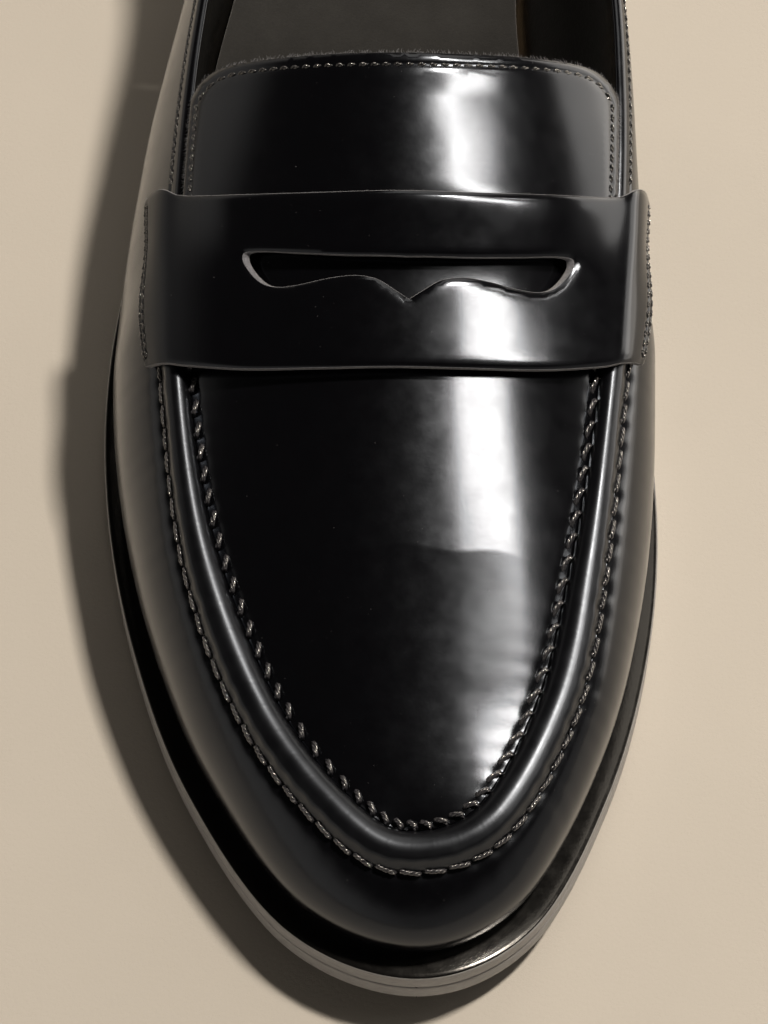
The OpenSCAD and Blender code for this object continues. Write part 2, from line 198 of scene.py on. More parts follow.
def wall(t, h, d=0.0):
    """Upper wall at rib t and height h, at depth d below its outer face."""
    t, h = bend(t, h)
    o = flat(outward(t))
    f = inner_edge(t)
    s = f[..., 1]
    foot = np.stack([f[..., 0], s, seat(s) + GAP], -1)
    top = wall_top(t)
    low = foot + o * (4.5 + 2.5 * ease(20, 130, s) - 4 * ease(180, 280, s))[..., None]
    low = low + UP * (11 + 7 * ease(20, 125, s) + 4 * ease(230, 290, s))[..., None]
    brow = top + o * (7 - 4 * ease(130, 270, s))[..., None]
    brow = brow - UP * (5 + 6 * ease(100, 170, s) + 7 * ease(190, 280, s))[..., None]
    g = h[..., None]
    skin = foot * (1 - g) ** 3 + 3 * low * g * (1 - g) ** 2 + 3 * brow * g * g * (1 - g) + top * g**3
    lean = np.radians(55 * h * roll_at(s))[..., None]
    inward = -o * np.cos(lean) - UP * np.sin(lean)
    return place(skin, skin[..., 2]) + inward * np.asarray(d, float)[..., None]


def rib(s):
    return 8 - (np.asarray(s, float) / PLAN[1] - 72) / 32


def apron_edge(t):
    c = crest(t)
    behind = ease(120, 138, c[..., 1])[..., None]
    side = 0.51 * roll_width(c[..., 1])[..., None]
    return c - flat(outward(t)) * mix(side, 1.2, behind) + UP * (0.3 + 1.9 * behind)


def apron(t, w, d=0.0):
    """Apron and tongue surface: rib t on the outer side, w from -1 to 1 across."""
    t, w = bend(t, w)
    p = mix(apron_edge(t), apron_edge(RIBS - t), ((w + 1) / 2)[..., None])
    rise = open_at(ARCH, t - 4) * (1 - w**2)
    return place(p, p[..., 2] + rise - d)


ROLL = np.array([(0.40, -2.3), (0.52, -1.3), (0.43, 0.3), (0.24, 0.8), (0, 1), (-0.24, 0.86), (-0.42, 0.45),
                 (-0.48, -0.1), (-0.42, -1.1)])


def roll_point(t, across, height):
    """Point beside the crest line: across in roll widths, height in roll heights above it or mm below it."""
    t, across = bend(t, across)
    c = crest(t)
    o = outward(t)
    z = np.where(np.asarray(height) > 0, np.asarray(height) * ROLL_H, height)
    return place(c[..., :2] + o * (across * roll_width(c[..., 1]))[..., None], c[..., 2] + z)


# The strap sweeps back towards its ends, as a share of the whole drift
DRIFT = np.array([0, 0.05, 0.25, 0.58, 0.78, 1])


def strap_way(k, t, v):
    m = abs(k)
    r = t if k < 0 else RIBS - t
    if m == 6:
        return wall(r, 0.75 - 0.15 * v, -0.5)
    if m == 5:
        return wall(r, 0.93 - 0.15 * v, -0.5)
    if m == 4:
        return roll_point(r, 0.3, 0.85)
    if m == 3:
        return roll_point(r, -0.45, 1 + (2.0 + 1.0 * v) / ROLL_H)
    return apron(t, np.sign(k) * (0, 0.36, 0.72)[m], -(2.2, 2.3, 2.9)[m])


def strap_face(u, v):
    """Lower face of the strap: u across from -1 (outer end) to 1, v along from 0 (front) to 1 (rear)."""
    u, v = bend(np.clip(u, -0.9995, 0.9995), v)
    x = u * 5
    out = np.zeros(u.shape + (3,))
    for i in range(-5, 5):
        here = np.floor(x) == i
        if not here.any():
            continue
        vv = v[here]
        way = [strap_way(i + j, rib(STRAP_S + STRAP_W * vv + (10.3 + 4 * vv) * DRIFT[min(5, abs(i + j))]), vv)
               for j in (-1, 0, 1, 2)]
        out[here] = cubic(*way, (x[here] - i)[..., None])
    return out


def strap_at(u, v, d):
    e = 0.01
    lo, hi = np.maximum(-0.999, u - e), np.minimum(0.999, u + e)
    across = strap_face(hi, v) - strap_face(lo, v)
    along = strap_face(u, v + e) - strap_face(u, v - e)
    return strap_face(u, v) + unit(np.cross(across, along)) * np.asarray(d, float)[..., None]


# ---------------------------------------------------------------- nodes and materials
class Nodes:
    """Short names for building one material's node tree."""

    def __init__(self, name):
        self.material = bpy.data.materials.new(name)
        self.material.use_nodes = True
        self.tree = self.material.node_tree
        self.shader = self.tree.nodes["Principled BSDF"]
        self.place = self.tree.nodes.new("ShaderNodeTexCoord").outputs["Object"]

    def new(self, kind, **values):
        node = self.tree.nodes.new(kind)
        for key, value in values.items():
            if key in node.inputs:
                node.inputs[key].default_value = value
            else:
                setattr(node, key, value)
        return node

    def link(self, a, b):
        self.tree.links.new(a, b)
        return self

    def set(self, **values):
        for key, value in values.items():
            self.shader.inputs[key.replace("_", " ")].default_value = value
        return self

    def noise(self, scale, detail=3.0, rough=0.55, stretch=None):
        source = self.place
        if stretch:
            mapping = self.new("ShaderNodeMapping")
            mapping.inputs["Scale"].default_value = stretch
            self.link(source, mapping.inputs["Vector"])
            source = mapping.outputs["Vector"]
        node = self.new("ShaderNodeTexNoise", Scale=scale, Detail=detail, Roughness=rough)
        self.link(source, node.inputs["Vector"])
        return node.outputs["Fac"]

    def cells(self, scale, smooth=0.4):
        node = self.new("ShaderNodeTexVoronoi", Scale=scale, feature="SMOOTH_F1", Smoothness=smooth)
        self.link(self.place, node.inputs["Vector"])
        return node.outputs["Distance"]

    def ramp(self, source, stops):
        node = self.new("ShaderNodeValToRGB")
        ramp = node.color_ramp
        while len(ramp.elements) < len(stops):
            ramp.elements.new(0.5)
        for element, (at, colour) in zip(ramp.elements, stops):
            element.position = at
            element.color = (*colour, 1) if len(colour) == 3 else colour
        self.link(source, node.inputs["Fac"])
        return node.outputs["Color"]

    def span(self, source, low, high, a=0.3, b=0.7):
        node = self.new("ShaderNodeMapRange")
        for socket, value in zip(("From Min", "From Max", "To Min", "To Max"), (a, b, low, high)):
            node.inputs[socket].default_value = value
        self.link(source, node.inputs["Value"])
        return node.outputs["Result"]

    def bump(self, *layers):
        """Stacks (height, distance in mm, strength) layers and feeds the shader's normal."""
        last = None
        for source, distance, strength in layers:
            node = self.new("ShaderNodeBump", Strength=strength, Distance=distance * MM)
            self.link(source, node.inputs["Height"])
            if last:
                self.link(last, node.inputs["Normal"])
            last = node.outputs["Normal"]
        self.link(last, self.shader.inputs["Normal"])
        return self


def polished_leather(name, tone=0.002, rough=(0.16, 0.24), grain=1.0, wave=1.0, worn=None):
    """Brushed-off black leather: fine grain, slow waves of the hide and a few pale dust specks.
    worn = (from, to, roughness): the polish fades with the distance towards the outer side."""
    n = Nodes(name)
    n.set(IOR=1.56, Specular_Tint=(0.75, 0.84, 1.0, 1.0))
    dust = n.ramp(n.noise(2300, 1.0), [(0.80, (tone, tone, tone * 1.4)), (0.84, (0.10, 0.10, 0.11))])
    n.link(dust, n.shader.inputs["Base Color"])
    roughness = n.span(n.noise(260, 4.0), *rough)
    if worn:
        across = n.new("ShaderNodeSeparateXYZ")
        away = n.new("ShaderNodeMath", operation="MULTIPLY")
        away.inputs[1].default_value = -1.0
        both = n.new("ShaderNodeMath", operation="MAXIMUM")
        n.link(n.place, across.inputs[0]).link(across.outputs["X"], away.inputs[0])
        n.link(n.span(away.outputs[0], rough[0], worn[2], worn[0] * MM, worn[1] * MM), both.inputs[0])
        n.link(roughness, both.inputs[1])
        roughness = both.outputs[0]
    n.link(roughness, n.shader.inputs["Roughness"])
    n.bump((n.noise(34, 1.0), 0.5 * wave, 0.035), (n.noise(240, 2.0), 0.05 * wave, 0.05),
           (n.cells(1700), 0.02 * grain, 0.10), (n.noise(4200, 2.0), 0.02 * grain, 0.22))
    return n.material


def raw_edge(name, tone=0.17):
    """Cut leather: pale grey fibres in two layers."""
    n = Nodes(name)
    n.set(Roughness=0.92, Sheen_Weight=0.35)
    low, high = tone * 0.35, tone * 1.5
    n.link(n.ramp(n.noise(2600, 6.0, 0.75), [(0.32, (low, low * 1.05, low * 1.25)), (0.66, (high, high * 1.04, high * 1.22))]),
           n.shader.inputs["Base Color"])
    n.bump((n.noise(2400, 6.0, 0.8), 0.22, 0.9))
    return n.material


def suede(name, tone=0.05, blotch=0.5):
    """Napped leather: short fibres that catch the light, in slow blotches."""
    n = Nodes(name)
    n.set(Roughness=0.95, Sheen_Weight=0.5, Sheen_Roughness=0.5)
    n.shader.inputs["Sheen Tint"].default_value = (0.6, 0.6, 0.62, 1)
    both = n.new("ShaderNodeMix", data_type="FLOAT")
    both.inputs[0].default_value = blotch
    n.link(n.noise(2100, 5.0, 0.7), both.inputs[2]).link(n.noise(150, 4.0, 0.6), both.inputs[3])
    n.link(n.ramp(both.outputs[0], [(0.36, (tone * 0.55,) * 3), (0.64, (tone * 1.6,) * 3)]),
           n.shader.inputs["Base Color"])
    n.bump((n.noise(1900, 6.0, 0.8), 0.16, 0.8), (n.noise(180, 3.0), 0.3, 0.3))
    return n.material


def satin_leather(name, tone=0.012, rough=(0.34, 0.5), bumps=1.0):
    """Lining and welt leather: smooth, less polish."""
    n = Nodes(name)
    n.link(n.ramp(n.noise(900, 4.0), [(0.35, (tone * 0.7,) * 3), (0.75, (tone * 1.5,) * 3)]),
           n.shader.inputs["Base Color"])
    n.link(n.span(n.noise(300, 4.0), *rough), n.shader.inputs["Roughness"])
    n.bump((n.noise(60, 3.0), 0.5 * bumps, 0.25), (n.cells(1700), 0.05 * bumps, 0.5))
    return n.material


def dressed_edge(name, tone=0.28):
    """Sole edge: sanded, dyed and waxed, with faint lengthwise streaks."""
    n = Nodes(name)
    streak = n.noise(420, 5.0, 0.6, stretch=(1, 1, 9))
    n.link(n.ramp(streak, [(0.3, (tone * 0.8, tone * 0.8, tone * 0.83)), (0.7, (tone * 1.2, tone * 1.2, tone * 1.24))]),
           n.shader.inputs["Base Color"])
    n.link(n.span(n.noise(700, 4.0), 0.36, 0.5), n.shader.inputs["Roughness"])
    n.bump((streak, 0.05, 0.5), (n.noise(2500, 3.0), 0.02, 0.5))
    return n.material


def waxed_thread(name, tone=0.012):
    n = Nodes(name)
    n.set(Coat_Weight=0.9, Coat_Roughness=0.07, Coat_IOR=1.7)
    n.link(n.ramp(n.noise(3000, 3.0), [(0.35, (tone * 0.5, tone * 0.5, tone * 0.6)), (0.7, (tone * 2, tone * 2, tone * 2.4))]),
           n.shader.inputs["Base Color"])
    n.link(n.span(n.noise(1500, 3.0), 0.2, 0.42), n.shader.inputs["Roughness"])
    n.bump((n.noise(5200, 3.0), 0.05, 0.8))
    return n.material


def rubber(name, tone=0.03):
    n = Nodes(name)
    n.link(n.ramp(n.noise(1200, 4.0), [(0.3, (tone * 0.8,) * 3), (0.7, (tone * 1.25,) * 3)]),
           n.shader.inputs["Base Color"])
    n.link(n.span(n.noise(500, 4.0), 0.5, 0.68), n.shader.inputs["Roughness"])
    n.bump((n.noise(2600, 4.0), 0.06, 0.6))
    return n.material


def granular(name, dark, light, scale=420, rough=0.85):
    """Cork, fibre board, foam and woven tape: a grainy mix of two colours."""
    n = Nodes(name)
    n.set(Roughness=rough)
    n.link(n.ramp(n.noise(scale, 6.0, 0.7), [(0.35, dark), (0.65, light)]), n.shader.inputs["Base Color"])
    n.bump((n.noise(scale * 2, 4.0), 0.12, 0.7))
    return n.material


def metal(name, colour, rough=0.3, stretch=(1, 1, 1)):
    n = Nodes(name)
    n.set(Metallic=1.0)
    n.shader.inputs["Base Color"].default_value = (*colour, 1)
    n.link(n.span(n.noise(900, 3.0, stretch=stretch), rough * 0.8, rough * 1.3), n.shader.inputs["Roughness"])
    n.bump((n.noise(1600, 3.0, stretch=stretch), 0.02, 0.4))
    return n.material


LEATHER_WALL = polished_leather("upper_leather")
LEATHER_APRON = polished_leather("apron_leather", rough=(0.15, 0.19), grain=0.9, wave=0.8)
LEATHER_ROLL = polished_leather("roll_leather", rough=(0.28, 0.36), grain=0.8, wave=0.3)
LEATHER_STRAP = polished_leather("strap_leather", rough=(0.14, 0.18), grain=0.7, wave=0.6, worn=(30, 42, 0.5))
LEATHER_TONGUE = polished_leather("tongue_leather", rough=(0.16, 0.20), grain=0.7, wave=0.6)
RAW = raw_edge("raw_edge")
RAW_DARK = raw_edge("dyed_edge", tone=0.07)
LINING_LEATHER = satin_leather("lining_leather", tone=0.004, rough=(0.3, 0.42))
WELT_TOP = satin_leather("welt_leather", tone=0.006, rough=(0.14, 0.22), bumps=0.3)
SOLE_EDGE = dressed_edge("sole_edge")
SOLE_RUBBER = rubber("outsole_rubber")
SOCK = suede("sock_suede", tone=0.009)
GRIP = suede("grip_suede", tone=0.02)
TONGUE_BACK = suede("tongue_lining_suede", tone=0.16)
THREAD = waxed_thread("seam_thread", tone=0.03)
FINE_THREAD = waxed_thread("fine_thread", tone=0.012)
TAPE = granular("tape_cotton", (0.010, 0.010, 0.011), (0.03, 0.03, 0.032), 1800)


# ---------------------------------------------------------------- meshes
def make(name, points, faces, materials, kinds=None, body="shoe", slot=None, replaces=(), merge=False):
    """Mesh object from points in mm. kinds gives each face's material number."""
    me = bpy.data.meshes.new(name)
    me.from_pydata((np.asarray(points, float).reshape(-1, 3) * MM).tolist(), [], faces)
    for m in materials:
        me.materials.append(m)
    if kinds is not None:
        me.polygons.foreach_set("material_index", np.asarray(kinds, np.int32))
    me.polygons.foreach_set("use_smooth", np.ones(len(me.polygons), bool))
    me.update()
    me.validate()
    obj = bpy.data.objects.new(name, me)
    bpy.context.scene.collection.objects.link(obj)
    if merge:
        weld(me)
    if body:
        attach(obj, body)
    if replaces:
        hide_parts(*replaces)
    return obj


def weld(me):
    import bmesh
    bm = bmesh.new()
    bm.from_mesh(me)
    bmesh.ops.remove_doubles(bm, verts=bm.verts, dist=2e-6)
    bmesh.ops.dissolve_degenerate(bm, edges=bm.edges, dist=1e-6)
    bmesh.ops.recalc_face_normals(bm, faces=bm.faces)
    bm.to_mesh(me)
    bm.free()


def loft(rows, closed_rows=False, closed_cols=False, base=0):
    """Quads over a grid of rows x cols points."""
    r, c = rows
    last_r = r if closed_rows else r - 1
    last_c = c if closed_cols else c - 1
    i, j = np.meshgrid(np.arange(last_r), np.arange(last_c), indexing="ij")
    a = i * c + j
    b = ((i + 1) % r) * c + j
    a2 = i * c + (j + 1) % c
    b2 = ((i + 1) % r) * c + (j + 1) % c
    return (np.stack([a, a2, b2, b], -1).reshape(-1, 4) + base).tolist()


def rim(top, bottom, away, rows=4, bulge=0.8):
    """Rounded edge from the top line to the bottom line, bulging along away."""
    mid, half = (top + bottom) / 2, (top - bottom) / 2
    radius = np.linalg.norm(half, axis=-1, keepdims=True)
    angles = np.pi * np.arange(1, rows + 1) / (rows + 1)
    return [mid + half * math.cos(a) + away * radius * bulge * math.sin(a) for a in angles]


def panel(name, top, bottom, materials, edge_kind=0, low_rim=True, **rest):
    """Leather panel from two grids (ribs x heights), with rounded long edges and closed ends."""
    high_rim = rim(top[:, -1], bottom[:, -1], unit(top[:, -1] - top[:, -2]))
    foot_rim = rim(bottom[:, 0], top[:, 0], unit(top[:, 0] - top[:, 1])) if low_rim else []
    ring = np.concatenate([top, *[r[:, None] for r in high_rim], bottom[:, ::-1], *[r[:, None] for r in foot_rim]], 1)
    rows, cols = ring.shape[:2]
    faces = loft((rows, cols), closed_cols=True)
    n = top.shape[1]
    kinds = np.zeros((rows - 1, cols), int)
    kinds[:, n - 1:n + len(high_rim)] = edge_kind
    kinds = kinds.reshape(-1).tolist()
    for end, flip in ((0, False), (rows - 1, True)):
        cap = [end * cols + k for k in range(cols)]
        faces.append(cap[::-1] if not flip else cap)
        kinds.append(edge_kind)
    return make(name, ring, faces, materials, kinds, **rest)


def inside(points, ring):
    """True for each 2-D point within the closed ring."""
    x, y = points[:, 0], points[:, 1]
    hit = np.zeros(len(points), bool)
    for (x1, y1), (x2, y2) in zip(ring, np.roll(ring, -1, 0)):
        cross = (y1 > y) != (y2 > y)
        with np.errstate(divide="ignore", invalid="ignore"):
            hit ^= cross & (x < (x2 - x1) * (y - y1) / (y2 - y1) + x1)
    return hit


def resample(ring, step):
    """Closed ring of points about step apart."""
    ring = np.vstack([ring, ring[:1]])
    run = np.concatenate([[0], np.cumsum(np.linalg.norm(np.diff(ring, axis=0), axis=1))])
    at = np.linspace(0, run[-1], int(run[-1] / step) + 1)[:-1]
    return np.stack([np.interp(at, run, ring[:, k]) for k in (0, 1)], -1)


def to_ring(points, rings):
    """Distance of each 2-D point to the nearest ring point."""
    every = np.concatenate(rings)
    out = np.empty(len(points))
    for k in range(0, len(points), 2000):
        d = points[k:k + 2000, None] - every[None]
        out[k:k + 2000] = np.sqrt((d**2).sum(-1)).min(1)
    return out


def cut_sheet(name, outline, holes, step, face, thickness, materials, extra=(), drop=0.25, rim_rows=4, **rest):
    """Leather cut to an outline in its own flat plane, with holes, laid on face(x, y, height)."""
    rings = [resample(r, step * 0.6) for r in (outline, *holes)]
    low, high = outline.min(0), outline.max(0)
    gx, gy = np.meshgrid(np.arange(low[0], high[0], step), np.arange(low[1], high[1], step * 0.87))
    gx = gx + (np.arange(gx.shape[0])[:, None] % 2) * step / 2
    fill = np.stack([gx.ravel(), gy.ravel()], -1)
    if len(extra):
        near = to_ring(fill, [np.asarray(extra)]) < step * 0.8
        fill = np.concatenate([fill[~near], extra])
    keep = inside(fill, rings[0]) & (to_ring(fill, rings) > step * 0.45)
    for hole in rings[1:]:
        keep &= ~inside(fill, hole)
    flat_points = np.concatenate([*rings, fill[keep]])
    edges, start = [], 0
    for r in rings:
        edges += [(start + k, start + (k + 1) % len(r)) for k in range(len(r))]
        start += len(r)
    co, _, tris, *_ = delaunay_2d_cdt([Vector(p) for p in flat_points], edges, [], 1, 1e-5)
    co, tris = np.array([tuple(v) for v in co]), np.array([f for f in tris if len(f) == 3])
    middle = co[tris].mean(1)
    for hole in rings[1:]:
        out = ~inside(middle, hole)
        tris, middle = tris[out], middle[out]
    a, b, c = co[tris[:, 0]], co[tris[:, 1]], co[tris[:, 2]]
    turn = (b[:, 0] - a[:, 0]) * (c[:, 1] - a[:, 1]) - (b[:, 1] - a[:, 1]) * (c[:, 0] - a[:, 0])
    tris = np.where((turn < 0)[:, None], tris[:, ::-1], tris)
    n = len(co)
    fall = drop * np.exp(-to_ring(co, rings) / 0.55)
    top = face(co[:, 0], co[:, 1], thickness - fall)
    bottom = face(co[:, 0], co[:, 1], np.full(n, 0.0) + fall * 0.3)
    points, faces = [top, bottom], tris.tolist() + (tris[:, ::-1] + n).tolist()
    kinds = [0] * len(tris) + [2 if len(materials) > 2 else 0] * len(tris)
    count, start = 2 * n, 0
    for k, r in enumerate(rings):
        m = len(r)
        index = np.arange(start, start + m)
        tangent = np.roll(r, -1, 0) - np.roll(r, 1, 0)
        away2 = unit(np.stack([tangent[:, 1], -tangent[:, 0]], -1))
        if inside(r[:1] + away2[:1] * 0.05, r)[0] == (k == 0):
            away2 = -away2
        probe = face(r[:, 0] + away2[:, 0] * 0.2, r[:, 1] + away2[:, 1] * 0.2, np.full(m, thickness / 2))
        away = unit(probe - face(r[:, 0], r[:, 1], np.full(m, thickness / 2)))
        rows = rim(top[index], bottom[index], away, rim_rows, 0.22)
        points += rows
        lines = [index] + [np.arange(m) + count + q * m for q in range(rim_rows)] + [index + n]
        count += m * rim_rows
        start += m
        for one, two in zip(lines, lines[1:]):
            for q in range(m):
                p = (q + 1) % m
                quad = (int(one[q]), int(two[q]), int(two[p]), int(one[p]))
                faces.append(quad)
                kinds.append(1)
    obj = make(name, np.concatenate(points), faces, materials, kinds, **rest)
    recalc(obj)
    return obj


def recalc(obj):
    import bmesh
    bm = bmesh.new()
    bm.from_mesh(obj.data)
    bmesh.ops.recalc_face_normals(bm, faces=bm.faces)
    bm.to_mesh(obj.data)
    bm.free()


def tube(line, radius, sides=6):
    """Points and faces of a closed tube along a line of points; radius may vary."""
    line = np.asarray(line, float)
    radius = np.broadcast_to(np.asarray(radius, float), (len(line),))
    along = unit(np.gradient(line, axis=0))
    side = unit(np.cross(along, UP + np.array([0.01, 0.02, 0])))
    up = np.cross(side, along)
    a = np.linspace(0, 2 * np.pi, sides, endpoint=False)
    ring = (side[:, None] * np.cos(a)[None, :, None] + up[:, None] * np.sin(a)[None, :, None])
    points = line[:, None] + ring * radius[:, None, None]
    n = len(line)
    faces = loft((n, sides), closed_cols=True)
    faces.append(list(range(sides))[::-1])
    faces.append([(n - 1) * sides + k for k in range(sides)])
    return points.reshape(-1, 3), faces


def stitches(name, ends, normals, radius, arch, strands=3, turns=0.6, sink=0.35, steps=8, material=THREAD, **rest):
    """One mesh of stitches. Each is a short bundle of strands that arches between two holes."""
    points, faces, count = [], [], 0
    s = np.linspace(0, 1, steps)
    for (p, q), normal in zip(ends, normals):
        side = unit(np.cross(q - p, normal))
        core = p + (q - p) * s[:, None]
        core = core + normal * (arch * np.sqrt(np.maximum(0, 1 - (2 * s - 1) ** 2)) - sink * (2 * s - 1) ** 8)[:, None]
        for k in range(strands):
            a = 2 * np.pi * (k / strands + turns * s + 0.1 * rng.random())
            spread = radius * (1.15 if strands > 1 else 0)
            line = core + (side * np.cos(a)[:, None] + normal * np.sin(a)[:, None]) * spread
            pts, fcs = tube(line, radius * (0.86 + 0.28 * rng.random()), 6)
            points.append(pts)
            faces += [[v + count for v in f] for f in fcs]
            count += len(pts)
    obj = make(name, np.concatenate(points), faces, [material], **rest)
    recalc(obj)
    return obj



# ---------------------------------------------------------------- studio
# The lamps are warm; the leather's reflections are cool, so that they come out neutral
WARM = (1.0, 0.89, 0.75)


def studio():
    """Camera over the toe, one long soft box overhead to the right, pale floor and a dim studio round it."""
    aim = Vector((0.9, -62.6, 38.4)) * MM
    tilt, distance = math.radians(29), 0.672
    camera = bpy.data.objects.new("camera", bpy.data.cameras.new("camera"))
    camera.rotation_euler = (tilt, 0, 0)
    camera.location = aim + Vector((0, -math.sin(tilt), math.cos(tilt))) * distance
    camera.data.lens, camera.data.sensor_width, camera.data.sensor_fit = 123.0, 36.0, "AUTO"
    camera.data.clip_start = 0.05
    bpy.context.scene.collection.objects.link(camera)
    bpy.context.scene.camera = camera

    def soft_box(name, at, size, power, target=(0, -0.04, 0.04)):
        """Rectangular light; size is its extent along the shoe and across it."""
        light = bpy.data.lights.new(name, "AREA")
        light.shape, light.size, light.size_y = "RECTANGLE", *size
        light.energy, light.color = power, WARM
        obj = bpy.data.objects.new(name, light)
        obj.location = at
        obj.rotation_euler = (Vector(target) - Vector(at)).to_track_quat("-Z", "Y").to_euler()
        bpy.context.scene.collection.objects.link(obj)
        return obj

    soft_box("key_light", (0.52, 0.14, 1.50), (0.13, 0.13), 26.0)
    strip = soft_box("highlight_box", (0.79, -0.09, 1.35), (0.15, 0.48), 10.5)
    strip.visible_diffuse = False
    tongue_box = soft_box("tongue_box", (0.98, 0.23, 1.35), (0.11, 0.22), 1.3)
    tongue_box.visible_diffuse = False
    soft_box("fill_box", (0.30, 0.95, 1.20), (0.7, 0.9), 3.0)
    low_card = soft_box("low_card", (0.24, 0.10, 0.05), (0.40, 0.10), 0.2)
    low_card.visible_diffuse = False
    card = soft_box("side_card", (1.1, 0.65, 0.31), (1.1, 0.62), 5.5)
    card.visible_diffuse = False

    floor_material = Nodes("floor_paper")
    floor_material.set(Roughness=0.9)
    paper = floor_material.ramp(floor_material.noise(7, 5.0), [(0.4, (0.535, 0.507, 0.469)), (0.6, (0.56, 0.53, 0.49))])
    floor_material.link(paper, floor_material.shader.inputs["Base Color"])
    floor_material.bump((floor_material.noise(1100, 6.0, 0.75), 0.22, 0.5))
    floor = make("floor", [(-4000, -4000, 0), (4000, -4000, 0), (4000, 4000, 0), (-4000, 4000, 0)],
                 [(0, 1, 2, 3)], [floor_material.material], body=None)

    world = bpy.data.worlds.new("studio")
    world.use_nodes = True
    tree = world.node_tree
    where = tree.nodes.new("ShaderNodeTexCoord").outputs["Generated"]
    split = tree.nodes.new("ShaderNodeSeparateXYZ")
    tree.links.new(where, split.inputs[0])
    def ramp_of(value, stops, tint=(1, 1, 1)):
        shift = tree.nodes.new("ShaderNodeMath")
        shift.operation, shift.inputs[1].default_value, shift.inputs[2].default_value = "MULTIPLY_ADD", 0.5, 0.5
        ramp = tree.nodes.new("ShaderNodeValToRGB")
        while len(ramp.color_ramp.elements) < len(stops):
            ramp.color_ramp.elements.new(0.5)
        for element, (at, grey) in zip(ramp.color_ramp.elements, stops):
            element.position, element.color = at, (*(grey * w for w in tint), 1)
        tree.links.new(value, shift.inputs[0])
        tree.links.new(shift.outputs[0], ramp.inputs["Fac"])
        return ramp.outputs["Color"]

    height = ramp_of(split.outputs["Z"], [(0.0, 0.5), (0.50, 0.6), (0.66, 0.5), (0.76, 0.03), (1.0, 0.012)], WARM)
    side = ramp_of(split.outputs["X"], [(0.1, 0.9), (0.5, 0.45), (0.9, 0.6)])
    product = tree.nodes.new("ShaderNodeVectorMath")
    product.operation = "MULTIPLY"
    tree.links.new(height, product.inputs[0])
    tree.links.new(side, product.inputs[1])
    tree.links.new(product.outputs[0], tree.nodes["Background"].inputs["Color"])
    tree.nodes["Background"].inputs["Strength"].default_value = 1.0
    bpy.context.scene.world = world
    bpy.context.scene.view_settings.view_transform = "Standard"


# ---------------------------------------------------------------- seams
SEAM_FROM, SEAM_TO = ROLL_END_RIB + 0.05, RIBS - ROLL_END_RIB - 0.05
SEAM_STITCH = 4.7
outer_line = lambda t: roll_point(t, 0.62, -1.5)
seam_length = np.linalg.norm(np.diff(outer_line(np.linspace(SEAM_FROM, SEAM_TO, 900)), axis=0), axis=1).sum()
SEAM_COUNT = int(round(seam_length / SEAM_STITCH))
HOLES = even(outer_line, SEAM_FROM, SEAM_TO, SEAM_COUNT)
PULL = 0.7 + 0.6 * rng.random(SEAM_COUNT + 8)


def seam_phase(t):
    """Stitch number along the seam, whole at each hole."""
    return np.interp(t, HOLES, np.arange(SEAM_COUNT + 1.0))


def seam_pull(t):
    """Uneven tension of the hand-sewn thread."""
    return np.interp(seam_phase(t), np.arange(len(PULL)), PULL)


def grid_normal(points, towards):
    """Unit normals of a grid of points, on the side that towards points to."""
    n = unit(np.cross(np.gradient(points, axis=0), np.gradient(points, axis=1)))
    side = np.sign((n * towards).sum(-1, keepdims=True))
    return n * np.where(side == 0, 1, side)


def waves(t, scale, count=5, seed=3):
    """Slow smooth noise along a line, about -1 to 1."""
    local = np.random.default_rng(seed)
    out = 0
    for k in range(count):
        out = out + np.sin(t * scale * (0.6 + 0.5 * k) + local.random() * 6.28) / count**0.5
    return out


# ---------------------------------------------------------------- upper leather
def shape_wall(t, h, backwards=False):
    """Outer face of the wall with seam puckers, the topline groove and slight unevenness, in mm."""
    tt, hh = np.meshgrid(t, h, indexing="ij")
    base = wall(tt, hh)
    normal = grid_normal(base, flat(outward(tt)) + UP * 0.4)
    s = edge(tt)[..., 1]
    seam = roll_at(crest(tt)[..., 1])
    far = 27 * (1 - hh)
    phase = seam_phase(np.where(tt < 0, SEAM_FROM, tt))
    pull = seam_pull(np.where(tt < 0, SEAM_FROM, tt))
    near_toe = 0.55 + 0.45 * ease(95, 30, s)
    pucker = -0.30 * np.exp(-(far / 1.5) ** 2)
    pucker = pucker + 0.18 * pull * np.cos(2 * np.pi * phase + np.pi) * np.exp(-far / 1.9)
    pucker = pucker + 0.07 * pull * near_toe * np.cos(2 * np.pi * (phase + 0.12 * far / 4)) * np.exp(-far / 4.5)
    pucker = pucker + 0.04 * near_toe * waves(phase, 3.1, seed=5) * np.exp(-far / 7)
    groove = -0.28 * np.exp(-(((1 - hh) * 42 - 2.4) / 0.5) ** 2)
    slow = 0.04 * waves(tt * 2.2 + hh * 1.5, 1.4, seed=9) * np.sin(np.pi * hh)
    return base + normal * (pucker * seam + groove * (1 - seam) + slow)[..., None]


WALL_H = np.concatenate([np.linspace(0, 0.85, 30, endpoint=False), np.linspace(0.85, 1, 24)])


TOP_T = 2.1


def thinned(t, h, depth):
    """Inner layers are pared down towards the topline."""
    behind = 1 - roll_at(crest(t)[..., 1])
    return depth * (1 - (1 - TOP_T / UPPER_T) * behind * ease(0.86, 0.97, h))


def wall_back(t, h, top):
    """Inner face of the wall leather; at the topline it folds over the lining's edge."""
    tt, hh = np.meshgrid(t, h, indexing="ij")
    fold = (1 - roll_at(crest(tt)[..., 1])) * ease(0.97, 0.99, hh)
    return wall(tt, hh, LEATHER + (TOP_T - LEATHER) * fold)


def wall_panel(name, t, material, node):
    top = shape_wall(t, WALL_H)
    panel(name, top, wall_back(t, WALL_H, top), [material, RAW_DARK], slot="upper_leather", replaces=[node])


